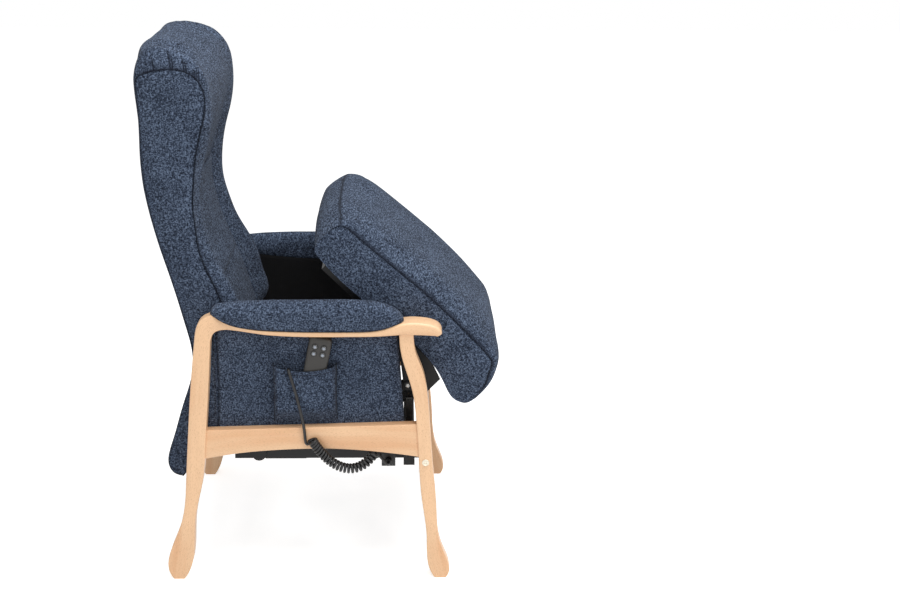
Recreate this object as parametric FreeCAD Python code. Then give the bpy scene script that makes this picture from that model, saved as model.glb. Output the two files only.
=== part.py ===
import FreeCAD, Part
import math
import os

os.makedirs("parts", exist_ok=True)

# Lift chair. Row frame: +X is the front, +Y the sitter's left, +Z up, floor at zero.
# The seat is raised and the back upright. All lengths in mm.

# Overall sizes
ARM_TOP = 627.0
OVERALL_HEIGHT = 1146.0
FRAME_WIDTH = 594.0
FOOT_X = 247.0
SEAT_DEPTH = 470.0
SEAT_SIDE_GAP = 59.0
BACK_SIDE_GAP = 57.0
SEAT_WIDTH = FRAME_WIDTH - SEAT_SIDE_GAP * 2
BACK_WIDTH = FRAME_WIDTH - BACK_SIDE_GAP * 2

# Wooden frame; distances named BACK run from the front foot towards the rear
LEG_WIDTH = 32.0
ARM_WIDTH = 52.0
ARM_OVERHANG = 8.0
ARM_WIDEN_BACK = 440.0
ARM_FULL_BACK = 380.0
GRIP_ROUND = 14.0
FOOT_HALF_SOLE = 12.5
RAIL_THICKNESS = 24.0
RAIL_INSET = 5.0
CROSS_RAIL_THICKNESS = 24.0
FRONT_RAIL_HEIGHT = 40.0
FRONT_RAIL_BOTTOM = 252.0
FRONT_RAIL_BACK = 33.0
REAR_RAIL_HEIGHT = 36.0
REAR_RAIL_BOTTOM = 290.0
REAR_RAIL_BACK = 434.0
BOLT_RADIUS = 7.5
BOLT_HEAD = 2.0
BOLT_SOCKET_RADIUS = 3.0
BOLT_SOCKET_DEPTH = 1.4
BOLT_SHANK_RADIUS = 3.0
BOLT_SHANK = 26.0

# Upholstery of the arm frame
PAD_WIDTH = 62.0
PAD_SEAT_GAP = 0.3
PAD_SINK = 2.5
PANEL_THICKNESS = 20.0
LINING_THICKNESS = 4.0
LINING_MARGIN = 3.0
LINING_RISE = 16.0
PANEL_BOTTOM = 305.0
PANEL_REAR_SHARE = 0.752791
PANEL_REAR_BACK = ARM_TOP * PANEL_REAR_SHARE
PANEL_TOP_GAP = 0.4

# Pocket and handset
POCKET_SKIN = 2.4
POCKET_REAR_SHARE = 0.567783
POCKET_REAR_BACK = ARM_TOP * POCKET_REAR_SHARE
POCKET_FRONT_SHARE = 0.350877
POCKET_FRONT_BACK = ARM_TOP * POCKET_FRONT_SHARE
POCKET_BOTTOM_SHARE = 0.585327
POCKET_BOTTOM = ARM_TOP * POCKET_BOTTOM_SHARE
POCKET_FULL_SHARE = 0.634769
POCKET_FULL_Z = ARM_TOP * POCKET_FULL_SHARE
POCKET_FLOOR_SHARE = 0.606061
POCKET_FLOOR_Z = ARM_TOP * POCKET_FLOOR_SHARE
POCKET_LIP_SHARE = 0.778309
POCKET_LIP_Z = ARM_TOP * POCKET_LIP_SHARE
POCKET_SAG = 15.0
POCKET_DEPTH = 25.0
POCKET_TAPER_DEPTH = 4.5
POCKET_SIDE_SLOPE = 7.0
HANDSET_WIDTH = 41.0
HANDSET_LENGTH_SHARE = 0.215311
HANDSET_LENGTH = ARM_TOP * HANDSET_LENGTH_SHARE
HANDSET_THICKNESS = 19.0
HANDSET_LEAN_DEG = 11.4
HANDSET_CORNER = 7.0
HANDSET_EDGE = 2.0
HANDSET_BACK_SHARE = 0.400319
HANDSET_X_BACK = ARM_TOP * HANDSET_BACK_SHARE
HANDSET_TOP_SHARE = 0.876396
HANDSET_TOP_Z = ARM_TOP * HANDSET_TOP_SHARE
HANDSET_GAP = 1.0
BUTTON_RADIUS = 5.6
BUTTON_PROUD = 1.4
BUTTON_WELL = 3.4
BUTTON_GAP = 0.25
BUTTON_TRAVEL = 0.8
BUTTON_PITCH_X = 18.8
BUTTON_PITCH_Z = 15.2
BUTTON_FIRST_DOWN = 21.5

# Steel base
BAR_SIDE_GAP = 107.0
BAR_OUTER = FRAME_WIDTH / 2 - BAR_SIDE_GAP
BAR_WIDTH = 20.0
BAR_HEIGHT = 24.0
BAR_BOTTOM = 238.0
BAR_REAR_BACK = 450.0
CROSS_BAR_WIDTH = 24.0
POST_CROSS_BACK = 68.0
MIDDLE_CROSS_BACK = 165.0
PLATE_THICKNESS = 5.0
END_PLATE_RISE = 24.0
TAB_THICKNESS = 5.0
TAB_LENGTH = 30.0
TAB_RISE = 8.0
POST_WIDTH = 14.0
POST_THICKNESS = 8.0
POST_SIDE_GAP = 75.0
POST_INNER = FRAME_WIDTH / 2 - POST_SIDE_GAP
POST_TOP = 391.0
POST_CAP = 4.0
EAR_FOOT_RISE = 12.0
REAR_EAR_TOP_BACK = 403.0
REAR_EAR_TOP_Z = 330.0
REAR_EAR_HALF = 16.0
TILT_EAR_HALF = 13.0
BACK_EAR_HALF = 12.0
SIDE_GAP = 1.0
ARM_PLANE_GAP = 3.0

# Lift linkage, pivots in the raised pose
SEAT_RISE_DEG = 44.5
LIFT_SWING_DEG = 16.7
LIFT_BASE_BACK = 397.0
LIFT_BASE_Z = 288.0
SEAT_PIVOT_BACK = 72.0
SEAT_PIVOT_Z = 418.0
TILT_PIVOT_BACK = 38.6
TILT_PIVOT_Z = 411.4
TILT_BASE_BACK = 144.7
TILT_BASE_Z = 345.0
LINK_HALF = 12.0
TILT_LINK_HALF = 10.0
BRACKET_HALF = 13.0
BRACKET_REACH = 86.0
PIN_RADIUS = 5.0
PIN_CLEARANCE = 0.05
PIN_HEAD_RADIUS = 9.0
PIN_HEAD = 4.0
OPEN_PIVOT_CLEARANCE = 1.2
CROSS_TUBE_RADIUS = 12.0
LIFT_TUBE_REACH = 190.0
LEVER_HALF = 10.0
CLEVIS_GAP = 17.0
LEVER_FORK_GAP = 41.0

# Seat
SEAT_DATUM_BACK = 24.0
SEAT_DATUM_Z = 482.0
SEAT_CROWN = 20.0
SEAT_DRAW_IN = 7.0
SEAT_BOARD = 4.0
SEAT_BOARD_INSET = 16.0
SEAT_BOARD_HALF = SEAT_WIDTH / 2 - SEAT_BOARD_INSET
SEAT_BOARD_REAR = 318.0
SEAT_BOARD_FRONT = 8.0
SEAT_BAR_DEPTH = 16.0
SEAT_BAR_WIDTH = 20.0
SEAT_BAR_REAR = 300.0
SEAT_BAR_FRONT = 8.0
SEAT_SOFT_GAP = 0.3

# Actuators
LIFT_ACT_Y = -60.0
LIFT_ACT_BASE_BACK = 194.2
LIFT_ACT_BASE_Z = 245.0
LIFT_ACT_RADIUS = 120.5
LIFT_ACT_ANGLE_DEG = 27.0
BACK_ACT_Y = 70.0
BACK_ACT_BASE_BACK = 196.0
BACK_ACT_BASE_Z = 258.0
BACK_ACT_BACK = 498.0
BACK_ACT_Z = 362.0
ACT_TUBE_RADIUS = 15.0
ACT_TUBE_START = 14.0
LIFT_ACT_TUBE_LENGTH = 92.0
BACK_ACT_TUBE_LENGTH = 190.0
ACT_ROD_RADIUS = 6.0
ACT_ROD_CLEARANCE = 0.1
ACT_EYE_RADIUS = 9.0
ACT_EYE_WIDTH = 14.0
ACT_PIN_RADIUS = 4.0
ACT_OPEN_CLEARANCE = 1.8
ACT_MOTOR_RADIUS = 19.0
ACT_MOTOR_LENGTH = 52.0
ACT_ROD_TAIL_GAP = 6.0

# Back
BACK_PIVOT_BACK = 470.0
BACK_PIVOT_Z = 435.0
DRAWN_HEIGHT_SHARE = 2.6344828
DRAWN_HEIGHT = BACK_PIVOT_Z * DRAWN_HEIGHT_SHARE
RECLINE_DEG = 20.0
BACK_BOARD = 5.0
BACK_BOARD_TOP_Z = 441.0
BACK_BOARD_BOTTOM_Z = 330.0
BACK_BOARD_INSET = 39.0
BACK_BOARD_HALF = BACK_WIDTH / 2 - BACK_BOARD_INSET
CENTRE_PAD_INSET = 87.0
CENTRE_PAD_HALF = BACK_WIDTH / 2 - CENTRE_PAD_INSET
CENTRE_PAD_DEPTH = 34.0
CENTRE_PAD_GAP = 0.3
CENTRE_PAD_CROWN = 5.0
TRIM_THICKNESS = 3.0

# Cord, plug and power box
CORD_DIAMETER = 4.8
COIL_DIAMETER = 21.6
CORD_DRAWN_LIP_Z = 488.0
CORD_DRAWN_OUTER = 297.0
COIL_QUARTERS = 87
CORD_SIDES = 6
PLUG_RADIUS = 7.0
PLUG_LENGTH = 16.0
PLUG_NECK_RADIUS = 4.0
PLUG_NECK = 8.0
BOX_LENGTH = 30.0
BOX_FRONT_BACK = 98.0
BOX_DEPTH = 24.0
BOX_HEIGHT = 30.0
BOX_BOTTOM = 229.0
POWER_LENGTH = 90.0
POWER_WIDTH = 64.0
POWER_HEIGHT = 34.0
POWER_BACK = 340.0
INLET_LENGTH = 20.0
INLET_HEIGHT = 12.0
INLET_DEPTH = 10.0
INLET_WALL = 2.0
RELIEF_RADIUS = 3.8
RELIEF_LENGTH = 9.0

# Outlines of the wood as shares of ARM_TOP: back from the front foot, and up
LEG_REAR_EDGE_SHARES = (
    (-0.9298, 0.008), (-0.8963, 0.1914), (-0.8676, 0.362), (-0.8533, 0.5423), (-0.8357, 0.7337),
    (-0.8182, 0.8836),
)
OUTER_BEND_SHARES = (
    (-0.8182, 0.8836), (-0.7998, 0.9378), (-0.7592, 0.9601),
)
ARM_SEAT_LINE_SHARES = (
    (-0.7592, 0.9601), (-0.7209, 0.9378), (-0.6459, 0.9171), (-0.5518, 0.9091), (-0.4258, 0.9059),
    (-0.2998, 0.9059), (-0.2057, 0.9123), (-0.1611, 0.925), (-0.1276, 0.9338),
)
GRIP_SHARES = (
    (-0.1276, 0.9338), (-0.0909, 0.9362), (-0.0542, 0.933), (-0.0223, 0.9242), (-0.0048, 0.9107),
    (0, 0.8987), (-0.0159, 0.89),
)
ARM_UNDERSIDE_SHARES = (
    (-0.0159, 0.89), (-0.0941, 0.8931), (-0.1388, 0.8931), (-0.2057, 0.8884), (-0.2998, 0.8868),
    (-0.4274, 0.8868), (-0.5215, 0.89), (-0.6156, 0.8979), (-0.7097, 0.9091),
)
INNER_BEND_SHARES = (
    (-0.7097, 0.9091), (-0.7528, 0.8979), (-0.7671, 0.8644),
)
LEG_FRONT_EDGE_SHARES = (
    (-0.7671, 0.8644), (-0.7831, 0.6539), (-0.7927, 0.5423), (-0.8118, 0.3636), (-0.8405, 0.2281),
    (-0.8804, 0.008),
)
REAR_SOLE_SHARES = (
    (-0.886, 0), (-0.9242, 0),
)
FRONT_LEG_REAR_SHARES = (
    (-0.1419, 0.8995), (-0.1388, 0.8437), (-0.1228, 0.7751), (-0.0973, 0.6874), (-0.0845, 0.5837),
    (-0.0774, 0.4721), (-0.0654, 0.2998), (-0.0478, 0.1499), (-0.0255, 0.008),
)
FRONT_LEG_FRONT_SHARES = (
    (0.0255, 0.008), (0.0064, 0.1116), (-0.0144, 0.2616), (-0.0287, 0.4338), (-0.0351, 0.5263),
    (-0.0431, 0.638), (-0.0654, 0.7687), (-0.0893, 0.8373), (-0.0941, 0.8995),
)
FRONT_SOLE_SHARES = (
    (-0.0199, 0), (0.0199, 0),
)
RAIL_TOP_SHARES = (
    (-0.8293, 0.5486), (-0.6061, 0.555), (-0.319, 0.563), (-0.0478, 0.571),
)
RAIL_BOTTOM_SHARES = (
    (-0.0478, 0.445), (-0.0829, 0.4514), (-0.1834, 0.4657), (-0.3174, 0.4785), (-0.4179, 0.4817),
    (-0.5582, 0.4769), (-0.7049, 0.4625), (-0.8022, 0.445), (-0.8293, 0.4402),
)
PANEL_FRONT_SHARES = (
    (-0.1483, 0.8884), (-0.1228, 0.5805),
)

# Arm pad sections as shares of ARM_TOP: place, height above the seat line; and share of the pad's width
PAD_SECTION_SHARES = (
    (-0.764, 0.008, 0.34), (-0.7544, 0.0255, 0.66), (-0.7273, 0.051, 0.88),
    (-0.6459, 0.0797, 0.98), (-0.4864, 0.0925, 1), (-0.2998, 0.0941, 1), (-0.2073, 0.0797, 0.98),
    (-0.1659, 0.0542, 0.9), (-0.1404, 0.0303, 0.66), (-0.1292, 0.0112, 0.34),
)

# Back profiles as shares of DRAWN_HEIGHT
BACK_STRETCH_SHARE = 0.46
BACK_REAR_SHARES = (
    (-0.4887, 0.1911), (-0.5026, 0.1963), (-0.5122, 0.212), (-0.5105, 0.24), (-0.5, 0.2723),
    (-0.4895, 0.3072), (-0.4773, 0.3455), (-0.4642, 0.3857), (-0.459, 0.4319), (-0.4721, 0.493),
    (-0.4939, 0.5777), (-0.5131, 0.6457), (-0.5288, 0.7112), (-0.5366, 0.7984), (-0.5401, 0.9215),
)
SIDE_TOP_SHARES = (
    (-0.5401, 0.9215), (-0.5366, 0.9459), (-0.5183, 0.9546), (-0.4799, 0.9599), (-0.4485, 0.9555),
    (-0.4267, 0.938), (-0.4171, 0.9075),
)
FOLD_TOP_SHARES = (
    (-0.5401, 0.9215), (-0.5358, 0.9634), (-0.5157, 0.9825), (-0.4834, 0.9869), (-0.4459, 0.9756),
    (-0.4188, 0.9468), (-0.4075, 0.9119),
)
BOLSTER_TOP_SHARES = (
    (-0.5401, 0.9215), (-0.5401, 0.9686), (-0.5244, 0.9895), (-0.4948, 0.9948), (-0.4572, 0.9808),
    (-0.4276, 0.9468), (-0.4145, 0.9119),
)
CENTRE_TOP_SHARES = (
    (-0.5401, 0.9215), (-0.5428, 0.9695), (-0.5288, 0.993), (-0.4991, 1), (-0.4607, 0.986),
    (-0.4293, 0.9503), (-0.4162, 0.9119),
)
SIDE_FRONT_SHARES = (
    (-0.4171, 0.9075), (-0.4206, 0.8743), (-0.4311, 0.8333), (-0.4389, 0.7958), (-0.4433, 0.7548),
    (-0.4459, 0.7138), (-0.4433, 0.6763), (-0.4398, 0.6414), (-0.4319, 0.6091), (-0.4136, 0.5654),
    (-0.3979, 0.5236), (-0.3857, 0.4799), (-0.3752, 0.4363),
)
FOLD_FRONT_SHARES = (
    (-0.4075, 0.9119), (-0.4084, 0.877), (-0.4171, 0.8333), (-0.4276, 0.7958), (-0.4346, 0.7548),
    (-0.4363, 0.7138), (-0.4319, 0.6763), (-0.4232, 0.6414), (-0.4127, 0.6091), (-0.3944, 0.5654),
    (-0.3787, 0.5236), (-0.3674, 0.4799), (-0.3586, 0.4363),
)
BOLSTER_FRONT_SHARES = (
    (-0.4145, 0.9119), (-0.4127, 0.877), (-0.4188, 0.8333), (-0.4293, 0.7958), (-0.4372, 0.7548),
    (-0.4398, 0.7138), (-0.4346, 0.6763), (-0.425, 0.6414), (-0.4136, 0.6091), (-0.3944, 0.5654),
    (-0.3778, 0.5236), (-0.3656, 0.4799), (-0.3569, 0.4363),
)
CENTRE_FRONT_SHARES = (
    (-0.4162, 0.9119), (-0.418, 0.877), (-0.4276, 0.8333), (-0.4398, 0.7958), (-0.4503, 0.7548),
    (-0.4546, 0.7138), (-0.4494, 0.6763), (-0.4415, 0.6414), (-0.4311, 0.6091), (-0.4127, 0.5654),
    (-0.397, 0.5236), (-0.3839, 0.4799), (-0.3717, 0.4363),
)
BACK_UNDER_SHARES = (
    (-0.3839, 0.4066), (-0.4346, 0.3944), (-0.4738, 0.2094),
)
BACK_STATION_SHARES = (-1.0, -0.945, -0.84, -0.66, -0.34, 0.0, 0.34, 0.66, 0.84, 0.945, 1.0)

# Seat profile as shares of SEAT_DEPTH, along the seat and square to it
SEAT_PROFILE_SHARES = (
    (-0.7106, 0), (-0.3404, 0), (0.0213, 0), (0.1319, -0.0362), (0.2298, -0.0553),
    (0.2574, -0.0319), (0.2681, 0.0149), (0.2638, 0.0894), (0.2383, 0.1617), (0.2106, 0.2),
    (0.1574, 0.2128), (-0.2553, 0.2191), (-0.6553, 0.1957), (-0.7149, 0.183), (-0.7383, 0.1404),
    (-0.7447, 0.0809), (-0.7383, 0.0298), (-0.7319, 0.0128),
)
SEAT_TOP_INDEX = (9, 13)
SEAT_STATION_SHARES = (-1.0, -0.972, -0.9, -0.62, -0.3, 0.0, 0.3, 0.62, 0.9, 0.972, 1.0)
SEAT_CROWN_SHARES = (0.0, 0.1, 0.3, 0.72, 0.95, 1.0, 0.95, 0.72, 0.3, 0.1, 0.0)

# Cord routes: place back from the front foot, outward from the middle plane, and up
COIL_AXIS = ((-271, 305, 338), (-240, 305, 262), (-187, 298, 240), (-143, 281, 284))
CORD_DROP = (
    (-287, 391, 278.5), (-301, 390, 278.5), (-313, 398, 278.5),
    (-317.5, 414, 278.5), (-318, 440, 278.5), (-317.3, 464, 279), (-316.8, 477, 283),
    (-316.3, 482, 291.5), (-315.5, 476, 298.5), (-314, 460, 300.5), (-309, 430, 300.5),
    (-301, 398, 300.5), (-293, 368, 299.5), (-288.6, 350, 297.5), (-287.9, 339.4, 296.6),
    (-284.9, 335.4, 296.6),
)

LEG_OUTER = FRAME_WIDTH / 2
LEG_INNER = LEG_OUTER - LEG_WIDTH
RAIL_OUTER = LEG_OUTER - RAIL_INSET
RAIL_INNER = RAIL_OUTER - RAIL_THICKNESS
PANEL_INNER = RAIL_INNER - PANEL_THICKNESS
LINING_INNER = PANEL_INNER - LINING_THICKNESS
ARM_OUTER = LEG_OUTER + ARM_OVERHANG
ARM_INNER = ARM_OUTER - ARM_WIDTH
SIDES = (("right", -1), ("left", 1))
UP = FreeCAD.Vector(0, 0, 1)
ACROSS = FreeCAD.Vector(0, 1, 0)
AHEAD = FreeCAD.Vector(1, 0, 0)


# Places and simple solids
def at(back, up, y=0.0):
    return FreeCAD.Vector(FOOT_X - back, y, up)


def placed(shares, size, y=0.0):
    return [FreeCAD.Vector(FOOT_X + s[0] * size, y, s[1] * size) for s in shares]


def spline(points):
    curve = Part.BSplineCurve()
    curve.interpolate(points)
    return curve.toShape()


def lines(points):
    return [Part.LineSegment(a, b).toShape() for a, b in zip(points, points[1:])]


def arcs(points):
    triples = zip(points[:-2:2], points[1::2], points[2::2])
    return [bow(a, b, c) for a, b, c in triples]


def bow(a, b, c):
    if abs((b - a).normalize().cross((c - b).normalize()).Length) < 1e-4:
        return Part.LineSegment(a, c).toShape()
    return Part.Arc(a, b, c).toShape()


def closed_face(edges):
    return Part.Face(Part.Wire(edges))


def slab(face, low, high):
    moved = face.copy()
    moved.translate(ACROSS * low)
    return moved.extrude(ACROSS * (high - low))


def block(low, high):
    size = high - low
    return Part.makeBox(size.x, size.y, size.z, low)


def bar(back_low, back_high, y_low, y_high, z_low, z_high):
    low = FreeCAD.Vector(FOOT_X - max(back_low, back_high), min(y_low, y_high), z_low)
    high = FreeCAD.Vector(FOOT_X - min(back_low, back_high), max(y_low, y_high), z_high)
    return block(low, high)


def side_span(side, a, b):
    return min(side * a, side * b), max(side * a, side * b)


def pin(centre, radius, side, a, b):
    low, high = side_span(side, a, b)
    base = FreeCAD.Vector(centre.x, low, centre.z)
    return Part.makeCylinder(radius, high - low, base, ACROSS)


def rod(start, end, radius):
    along = end - start
    return Part.makeCylinder(radius, along.Length, start, along)


def link(a, b, half, side, near, far):
    low, high = side_span(side, near, far)
    along = FreeCAD.Vector(b.x - a.x, 0, b.z - a.z).normalize()
    out = FreeCAD.Vector(-along.z, 0, along.x) * half
    p = FreeCAD.Vector(a.x, 0, a.z)
    q = FreeCAD.Vector(b.x, 0, b.z)
    one = Part.Arc(q + out, q + along * half, q - out).toShape()
    two = Part.Arc(p - out, p - along * half, p + out).toShape()
    straight = [Part.LineSegment(p + out, q + out).toShape()]
    other = [Part.LineSegment(q - out, p - out).toShape()]
    return slab(closed_face(straight + [one] + other + [two]), low, high)


def join(shapes):
    whole = shapes[0]
    for shape in shapes[1:]:
        whole = whole.fuse(shape)
    return whole.removeSplitter()


def one_solid(shape):
    solids = sorted(shape.Solids, key=lambda s: -s.Volume)
    return solids[0]


def save(name, shape):
    shape.exportStep("parts/" + name + ".step")


def mirrored(shape):
    return shape.mirror(FreeCAD.Vector(0, 0, 0), ACROSS)


def save_pair(name, right):
    save("right_" + name, right)
    save("left_" + name, mirrored(right))


# Bent rear leg and arm: one laminated strip
def bent_outline():
    edges = [spline(placed(LEG_REAR_EDGE_SHARES, ARM_TOP))]
    edges += [spline(placed(OUTER_BEND_SHARES, ARM_TOP))]
    edges += [spline(placed(ARM_SEAT_LINE_SHARES, ARM_TOP))]
    edges += [spline(placed(GRIP_SHARES, ARM_TOP))]
    edges += [spline(placed(ARM_UNDERSIDE_SHARES, ARM_TOP))]
    edges += [spline(placed(INNER_BEND_SHARES, ARM_TOP))]
    edges += [spline(placed(LEG_FRONT_EDGE_SHARES, ARM_TOP))]
    sole = placed(LEG_FRONT_EDGE_SHARES[-1:] + REAR_SOLE_SHARES + LEG_REAR_EDGE_SHARES[:1], ARM_TOP)
    return closed_face(edges + lines(sole))


def arm_plan():
    nose = GRIP_ROUND
    rear = -BACK_WIDTH * 2
    front = FOOT_X + nose
    points = [
        FreeCAD.Vector(rear, -LEG_OUTER, 0),
        FreeCAD.Vector(FOOT_X - ARM_WIDEN_BACK, -LEG_OUTER, 0),
        FreeCAD.Vector(FOOT_X - ARM_FULL_BACK, -ARM_OUTER, 0),
        FreeCAD.Vector(front - nose * 2, -ARM_OUTER, 0),
        FreeCAD.Vector(front, -ARM_OUTER + nose, 0),
        FreeCAD.Vector(front, -ARM_INNER - nose, 0),
        FreeCAD.Vector(front - nose * 2, -ARM_INNER, 0),
        FreeCAD.Vector(FOOT_X - ARM_FULL_BACK, -ARM_INNER, 0),
        FreeCAD.Vector(FOOT_X - ARM_WIDEN_BACK, -LEG_INNER, 0),
        FreeCAD.Vector(rear, -LEG_INNER, 0),
    ]
    edges = lines(points[:4])
    corner = FreeCAD.Vector(front - nose / 2, -ARM_OUTER + nose / 3, 0)
    edges += [Part.Arc(points[3], corner, points[4]).toShape()]
    edges += lines(points[4:6])
    corner = FreeCAD.Vector(front - nose / 2, -ARM_INNER - nose / 3, 0)
    edges += [Part.Arc(points[5], corner, points[6]).toShape()]
    edges += lines(points[6:] + points[:1])
    return closed_face(edges).extrude(UP * ARM_TOP)


def bent_leg():
    blank = slab(bent_outline(), -ARM_OUTER, -ARM_INNER)
    return one_solid(blank.common(arm_plan()))


def front_leg(arm):
    edges = [spline(placed(FRONT_LEG_REAR_SHARES, ARM_TOP))]
    sole = FRONT_LEG_REAR_SHARES[-1:] + FRONT_SOLE_SHARES + FRONT_LEG_FRONT_SHARES[:1]
    edges += lines(placed(sole, ARM_TOP))
    edges += [spline(placed(FRONT_LEG_FRONT_SHARES, ARM_TOP))]
    edges += lines(placed(FRONT_LEG_FRONT_SHARES[-1:] + FRONT_LEG_REAR_SHARES[:1], ARM_TOP))
    leg = slab(closed_face(edges), -LEG_OUTER, -LEG_INNER)
    return one_solid(leg.cut(arm))


def side_rail(rear_leg, fore_leg):
    edges = [spline(placed(RAIL_TOP_SHARES, ARM_TOP))]
    edges += lines(placed(RAIL_TOP_SHARES[-1:] + RAIL_BOTTOM_SHARES[:1], ARM_TOP))
    edges += [spline(placed(RAIL_BOTTOM_SHARES, ARM_TOP))]
    edges += lines(placed(RAIL_BOTTOM_SHARES[-1:] + RAIL_TOP_SHARES[:1], ARM_TOP))
    rail = slab(closed_face(edges), -RAIL_OUTER, -RAIL_INNER)
    return one_solid(rail.cut(rear_leg).cut(fore_leg))


def cross_rail(back, half, bottom, height):
    low = back + CROSS_RAIL_THICKNESS / 2
    high = back - CROSS_RAIL_THICKNESS / 2
    return bar(low, high, -half, half, bottom, bottom + height)


def bolt_centre():
    return at(FRONT_RAIL_BACK, FRONT_RAIL_BOTTOM + FRONT_RAIL_HEIGHT / 2)


def leg_bolt():
    head = pin(bolt_centre(), BOLT_RADIUS, -1, LEG_OUTER, LEG_OUTER + BOLT_HEAD)
    head = head.makeFillet(BOLT_HEAD / 2, [head.Edges[0]])
    depth = LEG_OUTER + BOLT_HEAD
    socket = pin(bolt_centre(), BOLT_SOCKET_RADIUS, -1, depth - BOLT_SOCKET_DEPTH, depth)
    shank = pin(bolt_centre(), BOLT_SHANK_RADIUS, -1, LEG_OUTER - BOLT_SHANK, LEG_OUTER)
    return join([head.cut(socket), shank])


def make_wood():
    arm = bent_leg()
    fore = front_leg(arm)
    rail = side_rail(arm, fore)
    bolt = leg_bolt()
    save_pair("rear_leg_arm", arm)
    save_pair("front_leg", fore.cut(bolt))
    save_pair("side_rail", rail)
    save_pair("leg_bolt", bolt)
    front = cross_rail(FRONT_RAIL_BACK, LEG_INNER, FRONT_RAIL_BOTTOM, FRONT_RAIL_HEIGHT)
    rear = cross_rail(REAR_RAIL_BACK, RAIL_INNER, REAR_RAIL_BOTTOM, REAR_RAIL_HEIGHT)
    save("front_cross_rail", front)
    save("rear_cross_rail", rear)
    return arm, rear


# Panels, linings and arm pads
def panel_face(margin, rise=0.0):
    under = placed(ARM_UNDERSIDE_SHARES[2:], ARM_TOP)
    top = [p - UP * (PANEL_TOP_GAP + margin - rise) for p in under]
    top[0] = FreeCAD.Vector(placed(PANEL_FRONT_SHARES, ARM_TOP)[0].x - margin, 0, top[0].z)
    rear_x = FOOT_X - PANEL_REAR_BACK + margin
    low = PANEL_BOTTOM + margin
    front = placed(PANEL_FRONT_SHARES, ARM_TOP)[1] - AHEAD * margin
    points = [
        top[-1],
        FreeCAD.Vector(rear_x, 0, top[-1].z),
        FreeCAD.Vector(rear_x, 0, low),
        FreeCAD.Vector(front.x, 0, low),
        front,
        top[0],
    ]
    return closed_face([spline(top)] + lines(points))


def make_panels(arm, rail):
    panel = slab(panel_face(0), -RAIL_INNER, -PANEL_INNER).cut(rail).cut(arm)
    inner_face = panel_face(LINING_MARGIN, LINING_MARGIN + LINING_RISE)
    lining = slab(inner_face, -PANEL_INNER, -LINING_INNER).cut(rail)
    save_pair("side_panel", panel)
    save_pair("panel_lining", lining)


def pad_section(share, side):
    place, rise, wide = share
    x = FOOT_X + place * ARM_TOP
    base = seat_line_height(place * ARM_TOP) + PAD_SEAT_GAP
    foot = base - PAD_SINK
    top = base + rise * ARM_TOP
    middle = -side * (ARM_OUTER + ARM_INNER) / 2
    half = PAD_WIDTH * wide / 2
    waist = foot + (top - foot) * 0.42
    shoulder = half * 0.72
    edge = half * 0.88
    near = [
        FreeCAD.Vector(x, -middle - edge, foot),
        FreeCAD.Vector(x, -middle - half, waist),
        FreeCAD.Vector(x, -middle - shoulder, foot + (top - foot) * 0.84),
    ]
    far = [
        FreeCAD.Vector(x, -middle + shoulder, foot + (top - foot) * 0.84),
        FreeCAD.Vector(x, -middle + half, waist),
        FreeCAD.Vector(x, -middle + edge, foot),
    ]
    crown = Part.Arc(near[2], FreeCAD.Vector(x, -middle, top), far[0]).toShape()
    edges = arcs(near) + [crown] + arcs(far) + lines([far[2], near[0]])
    return Part.Wire(edges)


def seat_line_height(place):
    points = [(s[0] * ARM_TOP, s[1] * ARM_TOP) for s in ARM_SEAT_LINE_SHARES]
    for a, b in zip(points, points[1:]):
        if place <= b[0]:
            break
    step = (place - a[0]) / (b[0] - a[0])
    return a[1] + (b[1] - a[1]) * step


def pad_bed(side):
    line = [p + UP * PAD_SEAT_GAP for p in placed(ARM_SEAT_LINE_SHARES, ARM_TOP)]
    low = line[-1] - UP * PAD_WIDTH
    ends = [line[-1], line[-1] + AHEAD * PAD_WIDTH, low + AHEAD * PAD_WIDTH]
    rear = line[0] - AHEAD * PAD_WIDTH
    ends += [FreeCAD.Vector(rear.x, 0, low.z), rear, line[0]]
    first, last = side_span(side, ARM_INNER - PAD_WIDTH, ARM_OUTER + PAD_WIDTH)
    return slab(closed_face([spline(line)] + lines(ends)), first, last)


def make_pads():
    for name, side in SIDES:
        sections = [pad_section(s, side) for s in PAD_SECTION_SHARES]
        if side > 0:
            sections = sections[::-1]
        pad = Part.makeLoft(sections, True, False)
        save(name + "_arm_pad", one_solid(pad.cut(pad_bed(side))))


# Pocket
def pocket_section(z, depth, inset):
    outer = RAIL_INNER + depth
    rear = FOOT_X - POCKET_REAR_BACK + inset
    front = FOOT_X - POCKET_FRONT_BACK - inset
    slope = POCKET_SIDE_SLOPE * depth / POCKET_DEPTH
    points = [
        FreeCAD.Vector(rear, -RAIL_INNER, z),
        FreeCAD.Vector(rear + slope, -outer, z),
        FreeCAD.Vector(front - slope, -outer, z),
        FreeCAD.Vector(front, -RAIL_INNER, z),
    ]
    return Part.Wire(lines(points + points[:1]))


def pocket_shell():
    levels = [(POCKET_BOTTOM, POCKET_TAPER_DEPTH), (POCKET_FULL_Z, POCKET_DEPTH)]
    levels += [(POCKET_LIP_Z, POCKET_DEPTH)]
    outer = Part.makeLoft([pocket_section(z, d, 0) for z, d in levels], True, True)
    skin = POCKET_SKIN
    inner_levels = [(POCKET_FLOOR_Z, POCKET_DEPTH - skin * 4), (POCKET_FULL_Z, POCKET_DEPTH - skin)]
    inner_levels += [(POCKET_LIP_Z + skin, POCKET_DEPTH - skin)]
    inner = Part.makeLoft([pocket_section(z, d, skin * 2) for z, d in inner_levels], True, True)
    return outer.cut(inner)


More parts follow.
